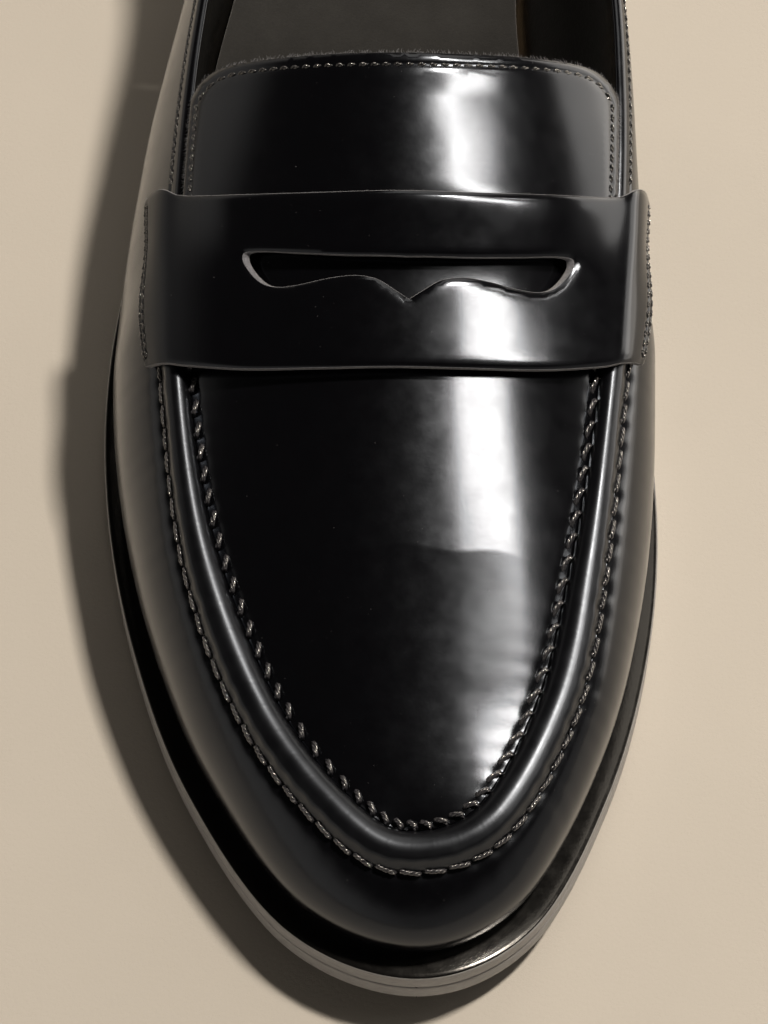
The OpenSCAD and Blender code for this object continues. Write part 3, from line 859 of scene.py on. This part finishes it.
def lining_panel(name, t, h, near, far, material, slot, nodes, body="shoe"):
    tt, hh = np.meshgrid(t, h, indexing="ij")
    panel(name, wall(tt, hh, thinned(tt, hh, far)), wall(tt, hh, thinned(tt, hh, near)), [material], slot=slot,
          replaces=nodes, body=body)


def upper():
    wall_panel("vamp", even(lambda t: wall(t, 0.8), SIDE_SEAM_RIB, RIBS - SIDE_SEAM_RIB, 760), LEATHER_WALL, "vamp_wall")
    side = even(lambda t: wall(t, 0.8), 0.01, SIDE_SEAM_RIB - 0.02, 150)
    wall_panel("quarter_outer_side", side, LEATHER_WALL, "quarter_lateral")
    wall_panel("quarter_inner_side", even(lambda t: wall(t, 0.8), 0.02 - SIDE_SEAM_RIB, -0.01, 150), LEATHER_WALL,
               "quarter_medial")
    t = np.linspace(-1 / 3, 1 / 3, 30)
    tt, hh = np.meshgrid(t, np.linspace(0.0, 1, 60), indexing="ij")
    swell = 1.1 - 0.35 * np.abs(tt * 3) ** 6
    panel("backstay_strip", wall(tt, hh, -swell), wall(tt, hh, -GAP), [LEATHER_WALL], slot="upper_leather",
          replaces=["backstay"])


def linings():
    h = np.linspace(0, 0.975, 30)
    lining_panel("vamp_lining_skin", np.linspace(SIDE_SEAM_RIB, RIBS - SIDE_SEAM_RIB, 160), h, LINING_D, UPPER_T,
                 LINING_LEATHER, "lining_leather", ["vamp_lining"])
    lining_panel("quarter_lining_outer_side", np.linspace(0.01, SIDE_SEAM_RIB - 0.02, 60), h, LINING_D, UPPER_T,
                 LINING_LEATHER, "lining_leather", ["quarter_lining_lateral"])
    lining_panel("quarter_lining_inner_side", np.linspace(0.02 - SIDE_SEAM_RIB, -0.01, 60), h, LINING_D, UPPER_T,
                 LINING_LEATHER, "lining_leather", ["quarter_lining_medial"])
    lining_panel("topline_tape_strip", np.linspace(-SIDE_SEAM_RIB - 1, SIDE_SEAM_RIB + 1, 150),
                 np.linspace(6 / 7, 0.965, 8), LEATHER + GAP, LINING_D - GAP, TAPE, "tape_cotton", ["topline_tape"])
    lining_panel("heel_grip_patch", np.linspace(-5 / 3, 5 / 3, 60), np.linspace(1 / 7, 6 / 7, 24), UPPER_T + GAP,
                 UPPER_T + 0.8, GRIP, "grip_suede", ["heel_grip"])


APRON_END_S = HINGE_S - 4.5


# Distance from the toe tip of the soft fold across the apron
FOLD_S = 71.3


def fold(points, w):
    """Drop of the apron in front of the fold."""
    ahead = np.maximum(0, FOLD_S - (points[..., 1] + 150) + 0.5 * np.sin(points[..., 0] * 0.35))
    return 1.6 * (1 - np.exp(-(ahead / 22) ** 1.08)) * (1 - w**2)


def apron_panel():
    t = even(lambda t: apron(t, 0.0), float(rib(APRON_END_S)), 10.93, 330)
    side = np.concatenate([np.linspace(0, 0.86, 36, endpoint=False), np.linspace(0.86, 1, 22)])
    w = np.concatenate([-side[:0:-1], side])
    tt, ww = np.meshgrid(t, w, indexing="ij")
    far = (1 - np.abs(ww)) * 0.5 * np.linalg.norm(apron_edge(tt) - apron_edge(RIBS - tt), axis=-1)
    here = np.where(ww < 0, tt, RIBS - tt)
    phase, pull = seam_phase(here), seam_pull(here)
    dent = 0.14 * np.exp(-((far - 0.2) / 1.2) ** 2)
    dent = dent + 0.10 * pull * (0.5 + 0.5 * np.cos(2 * np.pi * phase)) * np.exp(-((far - 0.9) / 0.9) ** 2)
    dent = dent + 0.02 * pull * np.cos(2 * np.pi * phase) * np.exp(-far / 3)
    dent = dent * np.where((here > SEAM_FROM) & (here < SEAM_TO), 1, 0.2)
    slow = 0.04 * waves(tt * 1.3 + ww * 1.7, 1.2, seed=21) * (1 - ww**2)
    drop = fold(apron(tt, ww), ww)
    panel("apron_panel", apron(tt, ww, dent + slow + drop), apron(tt, ww, LEATHER + drop), [LEATHER_APRON, RAW_DARK],
          slot="apron_leather", replaces=["apron_plug"])
    tt, ww = np.meshgrid(np.linspace(float(rib(HINGE_S - 0.5)), 10.93, 60), np.linspace(-1, 1, 40), indexing="ij")
    drop = fold(apron(tt, ww), ww)
    panel("apron_lining_skin", apron(tt, ww, LINING_D + drop), apron(tt, ww, UPPER_T + drop), [LINING_LEATHER],
          slot="lining_leather", replaces=["apron_lining"])


def roll_bead():
    """The raised seam: a smooth bead whose foot is drawn in by each stitch."""
    t = even(lambda t: roll_point(t, 0, 1), ROLL_END_RIB, RIBS - ROLL_END_RIB, 900)
    section = loop_at(ROLL, np.linspace(0, len(ROLL), 40, endpoint=False))
    tt, kk = np.meshgrid(t, np.arange(len(section)), indexing="ij")
    across, height = section[kk, 0], section[kk, 1]
    pull, phase = seam_pull(tt), seam_phase(tt)
    pinch = 0.5 + 0.5 * np.cos(2 * np.pi * phase)
    outer = ease(0.22, 0.5, across) * ease(0.95, 0.2, height)
    inner = ease(-0.22, -0.46, across) * ease(0.95, 0.2, height)
    across = across - outer * pinch * pull * 0.022 + inner * pinch * pull * 0.018
    across = across + outer * 0.010 * waves(phase, 2.3, seed=31)
    fine = np.zeros_like(across)
    for k in range(6):
        fine += np.sin(phase * (9 + 5.3 * k) + 6 * rng.random() + across * (3 + 2 * k)) * 0.0004
    height = np.where(height > 0, height * (1 + fine - 0.012 * pinch * (outer + inner)), height)
    points = roll_point(tt, across, height)
    rows, cols = tt.shape
    faces = loft((rows, cols), closed_cols=True)
    faces += [list(range(cols))[::-1], [(rows - 1) * cols + k for k in range(cols)]]
    obj = make("seam_roll", points, faces, [LEATHER_ROLL], slot="roll_leather", replaces=["apron_roll"])
    recalc(obj)


# ---------------------------------------------------------------- strap
strap_line = strap_face(np.linspace(-0.999, 0.999, 400), np.full(400, 0.5))
STRAP_HALF = np.linalg.norm(np.diff(strap_line, axis=0), axis=1).sum() / 2
SLOT_L, SLOT_X = 62.0, 5.5


def strap_map(x, y, height):
    return strap_at(x / STRAP_HALF, y / STRAP_W, height)


def strap_uv(x, y):
    """Flat strap coordinates of plan points x, y, found by Newton's rule on the strap's face."""
    p = np.stack([x / 1.1, y * 0 + STRAP_W / 2], -1)
    target = np.stack([x, y], -1)
    for _ in range(12):
        here = strap_map(p[:, 0], p[:, 1], np.zeros(len(p)))[:, :2]
        dx = (strap_map(p[:, 0] + 0.1, p[:, 1], np.zeros(len(p)))[:, :2] - here) / 0.1
        dy = (strap_map(p[:, 0], p[:, 1] + 0.1, np.zeros(len(p)))[:, :2] - here) / 0.1
        det = dx[:, 0] * dy[:, 1] - dx[:, 1] * dy[:, 0]
        miss = target - here
        p = p + np.stack([(miss[:, 0] * dy[:, 1] - miss[:, 1] * dy[:, 0]) / det,
                          (dx[:, 0] * miss[:, 1] - dx[:, 1] * miss[:, 0]) / det], -1)
    return p


def slot_ring():
    h = SLOT_L / 2
    half = np.array([(0, 12.3), (0.08 * h, 13.9), (0.19 * h, 16), (0.32 * h, 16.9), (0.48 * h, 16.8),
                     (0.65 * h, 16.4), (0.78 * h, 16.7), (0.88 * h, 18.1), (0.96 * h, 20.9), (h, 23.6),
                     (0.95 * h, 24.4), (0.65 * h, 22.3), (0.35 * h, 20.8), (0, 20.2)])
    right = open_at(half, np.linspace(0, len(half) - 1, 120))
    left = right[:0:-1] * np.array([-1, 1])
    plan = np.concatenate([right, left])
    return strap_uv(plan[:, 0] + SLOT_X, plan[:, 1] + STRAP_S - SHOE_L / 2)


def rounded(low, high, radius, steps=6):
    """Rectangle with round corners, anticlockwise."""
    out = []
    for (x, y), start in (((high[0], high[1]), 0), ((low[0], high[1]), 90), ((low[0], low[1]), 180), ((high[0], low[1]), 270)):
        cx, cy = x - math.copysign(radius, x - (low[0] + high[0]) / 2), y - math.copysign(radius, y - (low[1] + high[1]) / 2)
        for a in np.radians(np.linspace(start, start + 90, steps)):
            out.append((cx + radius * math.cos(a), cy + radius * math.sin(a)))
    return np.array(out)


BOX_NEAR, BOX_FAR, BOX_END = 1.2, 3.4, 1.6


def box_rows(side):
    """Flat corner points of the long narrow stitch box at one end of the strap."""
    near, far = side * (STRAP_HALF * 0.999 - BOX_NEAR), side * (STRAP_HALF * 0.999 - BOX_FAR)
    return np.array([(near, BOX_END), (near, STRAP_W - BOX_END), (far, STRAP_W - BOX_END), (far, BOX_END)])


def along_path(path, pitch, closed):
    """Pairs of points of the stitches along a path."""
    path = np.vstack([path, path[:1]]) if closed else path
    run = np.concatenate([[0], np.cumsum(np.linalg.norm(np.diff(path, axis=0), axis=1))])
    n = int(round(run[-1] / pitch))
    at = np.linspace(0, run[-1], n + 1)
    pick = lambda a: np.stack([np.interp(a, run, path[:, k]) for k in (0, 1)], -1)
    return pick(at[:-1] + 0.14 * pitch), pick(at[1:] - 0.14 * pitch)


def fine_row(name, path, pitch, face, height, closed=False, radius=0.17, **rest):
    p, q = along_path(path, pitch, closed)
    up = np.full(len(p), height)
    a, b = face(p[:, 0], p[:, 1], up), face(q[:, 0], q[:, 1], up)
    out = unit(face(p[:, 0], p[:, 1], up + 1) - a)
    return stitches(name, list(zip(a, b)), out, radius, 0.16, strands=2, turns=0.8, sink=0.35, steps=6,
                    material=FINE_THREAD, **rest)


def groove_points(path, closed):
    """Extra mesh points in lines beside a stitch path, so that its groove is cut sharply."""
    ring = resample(path, 0.45) if closed else path
    tangent = unit(np.gradient(ring, axis=0))
    away = np.stack([tangent[:, 1], -tangent[:, 0]], -1)
    return np.concatenate([ring + away * k for k in (-0.8, -0.4, 0, 0.4, 0.8)])


def strap():
    outline = rounded((-STRAP_HALF * 0.999, 0), (STRAP_HALF * 0.999, STRAP_W), 1.4)
    boxes = [resample(box_rows(side), 0.4) for side in (-1, 1)]
    ring = slot_ring()
    slot_x = (ring[:, 0].min() + ring[:, 0].max()) / 2
    slot_half = np.ptp(ring[:, 0]) / 2
    extra = np.concatenate([groove_points(b, True) for b in boxes])

    def face(x, y, height):
        flat_points = np.stack([x, y], -1)
        near = to_ring(flat_points, boxes)
        groove = 0.42 * np.exp(-(near / 0.36) ** 2) * (np.asarray(height) > STRAP_T / 2)
        by_slot = np.exp(-(to_ring(flat_points, [ring]) / 1.2) ** 2)
        skive = ease(slot_half - 9, slot_half - 2, np.abs(x - slot_x)) * by_slot * (1 - np.asarray(height) / STRAP_T)
        sag = 0.04 * waves(x * 0.05 + y * 0.02, 1.0, seed=41)
        return strap_map(x - np.sign(x - slot_x) * 0.75 * skive, y, height - groove + sag)

    cut_sheet("strap_sheet", outline, [ring], 0.95, face, STRAP_T, [LEATHER_STRAP, RAW, RAW_DARK], extra=extra,
              slot="strap_leather", replaces=["saddle_strap"])
    for side, node in ((-1, "strap_thread_lateral"), (1, "strap_thread_medial")):
        fine_row("box_stitches_" + ("outer_side" if side < 0 else "inner_side"), box_rows(side), 1.75, strap_map,
                 STRAP_T - 0.22, closed=True, slot="fine_thread", replaces=[node])
    fibres("strap_fibres", outline, strap_map, STRAP_T, 260, lambda p: p[:, 1] > STRAP_W * 0.9, 0.35)


# ---------------------------------------------------------------- tongue
TONGUE_HALF = 40.0
TONGUE_ROOT = -3.8


def tongue_map(x, y, height):
    """Tongue face: x across, y behind the hinge line, height above the lower face."""
    return apron(rib(HINGE_S + y), x / TONGUE_HALF, LEATHER - np.asarray(height))


def tongue_outline(more=0.0, root=TONGUE_ROOT):
    w = np.linspace(-0.985, 0.985, 260)
    back = np.stack([w * (TONGUE_HALF - 0.55 * more), (TONGUE_L - more + 9.5 * w**2) * (1 - 0.2 * w**16)], -1)
    side = 0.985 * (TONGUE_HALF - 0.55 * more)
    sides = np.array([(side, root), (-side, root)])
    return back, sides


def tongue():
    back, sides = tongue_outline()
    outline = np.concatenate([back, sides])
    row, _ = tongue_outline(2.2)
    row = np.concatenate([[(row[0, 0], 0.5)], row, [(row[-1, 0], 0.5)]])
    extra = groove_points(resample_open(row, 0.45), False)

    def face(x, y, height):
        near = to_ring(np.stack([x, y], -1), [resample_open(row, 0.3)])
        groove = 0.24 * np.exp(-(near / 0.45) ** 2) * (np.asarray(height) > LEATHER / 2)
        curl = 0.45 * ease(TONGUE_L - 8, TONGUE_L + 1, y - 9.5 * (x / TONGUE_HALF) ** 2)
        return tongue_map(x, y, height - groove + curl + 0.10 * waves(x * 0.08 + y * 0.05, 1.0, seed=51))

    leather = cut_sheet("tongue_sheet", outline, [], 0.95, face, LEATHER, [LEATHER_TONGUE, RAW, TONGUE_BACK],
                        extra=extra, body=None, slot="tongue_leather", replaces=["tongue"])
    lining_back, lining_sides = tongue_outline(0.5)
    lower = lambda x, y, h: face(x, y, np.asarray(h) * 0 + 0.0) - UP * (GAP + LINING - np.asarray(h))[..., None]
    lining = cut_sheet("tongue_lining_sheet", np.concatenate([lining_back, lining_sides]), [], 1.4, lower, LINING,
                       [TONGUE_BACK, RAW], drop=0.1, body=None, slot="tongue_lining_suede", replaces=["tongue_lining"])
    thread = fine_row("tongue_stitches", row, 2.1, face, LEATHER - 0.12, radius=0.21, body=None, slot="fine_thread",
                      replaces=["tongue_thread"])
    fuzz = fibres("tongue_fibres", outline, face, LEATHER, 900, lambda p: p[:, 1] > 6, 0.75, body=None)
    for obj in (leather, lining, thread, fuzz):
        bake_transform(obj)


def resample_open(path, step):
    run = np.concatenate([[0], np.cumsum(np.linalg.norm(np.diff(path, axis=0), axis=1))])
    at = np.linspace(0, run[-1], int(run[-1] / step) + 1)
    return np.stack([np.interp(at, run, path[:, k]) for k in (0, 1)], -1)


def fibres(name, outline, face, thickness, count, keep, length, body="shoe"):
    """Loose fibres standing off a raw cut edge."""
    ring = resample(outline, 0.1)
    tangent = unit(np.roll(ring, -1, 0) - np.roll(ring, 1, 0))
    away = np.stack([tangent[:, 1], -tangent[:, 0]], -1)
    if inside(ring[:1] + away[:1] * 0.05, ring)[0]:
        away = -away
    chosen = rng.permutation(np.flatnonzero(keep(ring)))[:count]
    points, faces, total = [], [], 0
    for k in chosen:
        up = thickness * (0.1 + 0.85 * rng.random())
        long = length * (0.35 + 0.65 * rng.random())
        drift = (rng.random() - 0.5) * 1.6
        s = np.linspace(0, 1, 4)
        flat_line = ring[k] - away[k] * 0.05 + away[k] * (long * s)[:, None] + tangent[k] * (drift * long * s**2)[:, None]
        line = face(flat_line[:, 0], flat_line[:, 1], np.full(4, thickness / 2))
        root = face(ring[k:k + 1, 0], ring[k:k + 1, 1], np.array([up])) - face(ring[k:k + 1, 0], ring[k:k + 1, 1], np.array([thickness / 2]))
        line = line + root + UP * (s**2 * long * (rng.random() * 0.9 - 0.2))[:, None]
        pts, fcs = tube(line, np.array([0.045, 0.04, 0.03, 0.012]), 3)
        points.append(pts)
        faces += [[v + total for v in f] for f in fcs]
        total += len(pts)
    return make(name, np.concatenate(points), faces, [RAW], body=body)


# ---------------------------------------------------------------- threads on the wall
def seam_threads():
    inner, outer, inner_up, outer_up = [], [], [], []
    for k in range(SEAM_COUNT):
        a, b = mix(HOLES[k], HOLES[k + 1], 0.16), mix(HOLES[k], HOLES[k + 1], 0.86)
        inner.append((roll_point(a, -0.70, 0.12), roll_point(b, -0.50, 0.42)))
        outer.append((roll_point(mix(a, b, -0.12), 0.53, -1.2), roll_point(mix(a, b, 1.1), 0.57, -1.6)))
        o = flat(outward((a + b) / 2))
        inner_up.append(unit(UP - o * 0.15))
        outer_up.append(unit(UP * 0.8 + o * 0.6))
    stitches("seam_stitches_inner_row", inner, inner_up, 0.26, 0.5, strands=4, turns=0.75, sink=0.7, steps=12,
             slot="seam_thread", replaces=["seam_thread_inner"])
    stitches("seam_stitches_outer_row", outer, outer_up, 0.22, 0.2, strands=3, turns=1.3, sink=0.4, steps=12,
             slot="seam_thread", replaces=["seam_thread_outer"])


def wall_stitches(name, ribs, heights, pitch, **rest):
    """Fine stitches along a line of the wall given by matching ribs and heights."""
    line = wall(ribs, heights, -0.02)
    run = np.concatenate([[0], np.cumsum(np.linalg.norm(np.diff(line, axis=0), axis=1))])
    n = int(run[-1] / pitch)
    at = np.linspace(0, run[-1], n + 1)
    pick = lambda a: np.stack([np.interp(a, run, line[:, k]) for k in range(3)], -1)
    p, q = pick(at[:-1] + 0.16 * pitch), pick(at[1:] - 0.16 * pitch)
    up = unit(flat(outward(np.interp((at[:-1] + at[1:]) / 2, run, ribs))) + UP * 0.15)
    return list(zip(p, q)), up


def fine_threads():
    groups = {
        "topline_stitches": ("topline_thread", [
            (np.linspace(0.5, 5.6, 400), np.full(400, 1 - 2.4 / 42)),
            (np.linspace(-5.6, -0.5, 400), np.full(400, 1 - 2.4 / 42))], 0.02, 2.0),
        "side_seam_stitches": ("side_seam_thread", [
            (np.full(200, side * SIDE_SEAM_RIB + step), np.linspace(0.06, 0.93, 200))
            for side in (1, -1) for step in (-0.11, 0.09)], 0.06, 2.2),
        "backstay_stitches": ("backstay_thread", [
            (np.full(200, side * 0.26), np.linspace(0.05, 0.96, 200)) for side in (1, -1)], 1.15, 2.2)}
    for name, (node, rows, lift, pitch) in groups.items():
        ends, ups = [], []
        for ribs, heights in rows:
            pairs, up = wall_stitches(name, ribs, heights, pitch)
            ends += [(p + u * (lift - 0.2), q + u * (lift - 0.2)) for (p, q), u in zip(pairs, up)]
            ups += list(up)
        stitches(name, ends, ups, 0.17, 0.2, strands=2, turns=0.8, sink=0.3, steps=6, material=FINE_THREAD,
                 slot="fine_thread", replaces=[node])


# ---------------------------------------------------------------- bottom
def edge_in(t, more):
    return edge(t) - outward(t) * np.asarray(more)[..., None]


def ring_solid(name, profile, base_z, materials, kinds, **rest):
    """Closed strip round the shoe. profile lists (distance in from the edge, height) of its closed section."""
    t = even(edge, 0, RIBS, 560)[:-1]
    tt, kk = np.meshgrid(t, np.arange(len(profile)), indexing="ij")
    section = np.array(profile)
    p = edge_in(tt, section[kk, 0] * (1 + 0 * tt))
    s = edge(tt)[..., 1]
    points = place(p, seat(s) + base_z + section[kk, 1])
    faces = loft(tt.shape, closed_rows=True, closed_cols=True)
    face_kinds = np.tile(np.array(kinds), (tt.shape[0], 1)).reshape(-1).tolist()
    obj = make(name, points, faces, materials, face_kinds, **rest)
    recalc(obj)
    return obj


def welt():
    t = WELT_T - GAP
    profile = [(9.0, 0), (5.2, 0), (2.6, -0.02), (1.2, -0.02), (0.55, -0.06), (0.2, -0.22), (0.03, -0.55), (0, -1.0),
               (0, -2.2), (0, 0.65 - t), (0.06, 0.35 - t), (0.25, 0.12 - t), (0.7, 0 - t), (9.0, 0 - t)]
    kinds = [0, 0, 0, 0, 0, 1, 1, 1, 1, 1, 1, 1, 1, 1]
    ring_solid("welt_strip", profile, 0, [WELT_TOP, SOLE_EDGE], kinds, slot="welt_leather", replaces=["welt"])


def sole():
    """Outsole as rings that run in from the edge to the middle line, above and below."""
    top, low = -WELT_T, -WELT_T - OUTSOLE_T
    path = [(1, top, 0), (0.5, top, 0), (0.1, top, 0), (0.7, top, 0), (0.25, top - 0.1, 1), (0.04, top - 0.35, 1),
            (0, top - 0.8, 1), (0, low + 1.2, 1), (0.08, low + 0.6, 1), (0.35, low + 0.18, 1), (0.9, low, 1)]
    t = even(edge, 0, RIBS, 560)[:-1]
    rings, kinds = [], []
    middle = (edge(t) + edge(RIBS - t)) / 2
    inner = edge_in(t, np.full(len(t), 0.9))
    for share in (1, 0.6, 0.25, 0):
        rings.append(place(mix(inner, middle, share), seat(mix(inner, middle, share)[:, 1]) + top))
        kinds.append(0)
    for more, z in ((0.25, top - 0.1), (0.04, top - 0.35), (0, top - 0.8), (0, low + 1.2), (0.08, low + 0.6),
                    (0.35, low + 0.18), (0.9, low)):
        p = edge_in(t, np.full(len(t), more))
        rings.append(place(p, seat(edge(t)[:, 1]) + z))
        kinds.append(1)
    for more, deep in ((4.4, 0), (4.7, 0.35), (5.3, 0.35), (5.6, 0)):
        p = edge_in(t, np.full(len(t), more))
        rings.append(place(p, seat(p[:, 1]) + low + deep))
        kinds.append(0)
    deeper = edge_in(t, np.full(len(t), 5.6))
    for share in (0.15, 0.35, 0.6, 0.8, 1):
        p = mix(deeper, middle, share)
        rings.append(place(p, seat(p[:, 1]) + low))
        kinds.append(0)
    grid = np.stack(rings)
    faces = loft(grid.shape[:2], closed_cols=True)
    face_kinds = np.repeat(kinds[1:], grid.shape[1]).tolist()
    make("outsole_slab", grid, faces, [SOLE_RUBBER, SOLE_EDGE], face_kinds, merge=True, slot="outsole_rubber",
         replaces=["outsole"])


def sock():
    """Sock lining: a suede sheet that dips slightly in the middle and turns up at its edge."""
    t = np.linspace(0.02, 10.98, 200)
    w = np.linspace(-1, 1, 61)
    tt, ww = np.meshgrid(t, w, indexing="ij")
    more = UPPER_T + 0.25
    p = mix(inner_edge(tt, more), inner_edge(RIBS - tt, more), ((ww + 1) / 2)[..., None])
    s = p[..., 1]
    z = INSOLE_T + GAP + (2 + GAP) * ease(186, 206, s)
    dish = 0.5 * np.abs(ww) ** 4 + 0.07 * waves(s * 0.11 + p[..., 0] * 0.09, 1.0, seed=61)
    panel("sock_sheet", place(p, seat(s) + z + 1 + dish), place(p, seat(s) + z), [SOCK], slot="sock_suede",
          replaces=["sock_lining"])


def carried_over():
    """CAD nodes whose shape is right keep it and get a finished material."""
    looks = {
        "heel_lifts": dressed_edge("heel_stack", tone=0.05), "heel_top_piece": rubber("heel_rubber", tone=0.022),
        "heel_nails": metal("nail_brass", (0.55, 0.42, 0.20), 0.35),
        "bottom_filler": granular("cork_filler", (0.20, 0.12, 0.06), (0.50, 0.34, 0.18)),
        "shank": metal("shank_steel", (0.55, 0.56, 0.58), 0.32, stretch=(1, 0.1, 1)),
        "insole_board": granular("insole_fibre", (0.30, 0.21, 0.12), (0.46, 0.34, 0.21), 900),
        "heel_pad": granular("pad_foam", (0.06, 0.06, 0.062), (0.14, 0.14, 0.145), 1500),
        "toe_puff": granular("stiffener_fibre", (0.42, 0.39, 0.32), (0.62, 0.58, 0.50), 1200),
        "heel_counter": granular("counter_fibre", (0.42, 0.39, 0.32), (0.62, 0.58, 0.50), 1200)}
    for node, material in looks.items():
        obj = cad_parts[node]
        obj.data.materials.clear()
        obj.data.materials.append(material)
    for node in ("heel_lifts", "heel_top_piece"):
        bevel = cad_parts[node].modifiers.new("soft_edges", "BEVEL")
        bevel.width, bevel.segments, bevel.limit_method, bevel.angle_limit = 0.35 * MM, 3, "ANGLE", math.radians(40)


studio()
upper()
linings()
apron_panel()
roll_bead()
strap()
tongue()
seam_threads()
fine_threads()
welt()
sole()
sock()
carried_over()
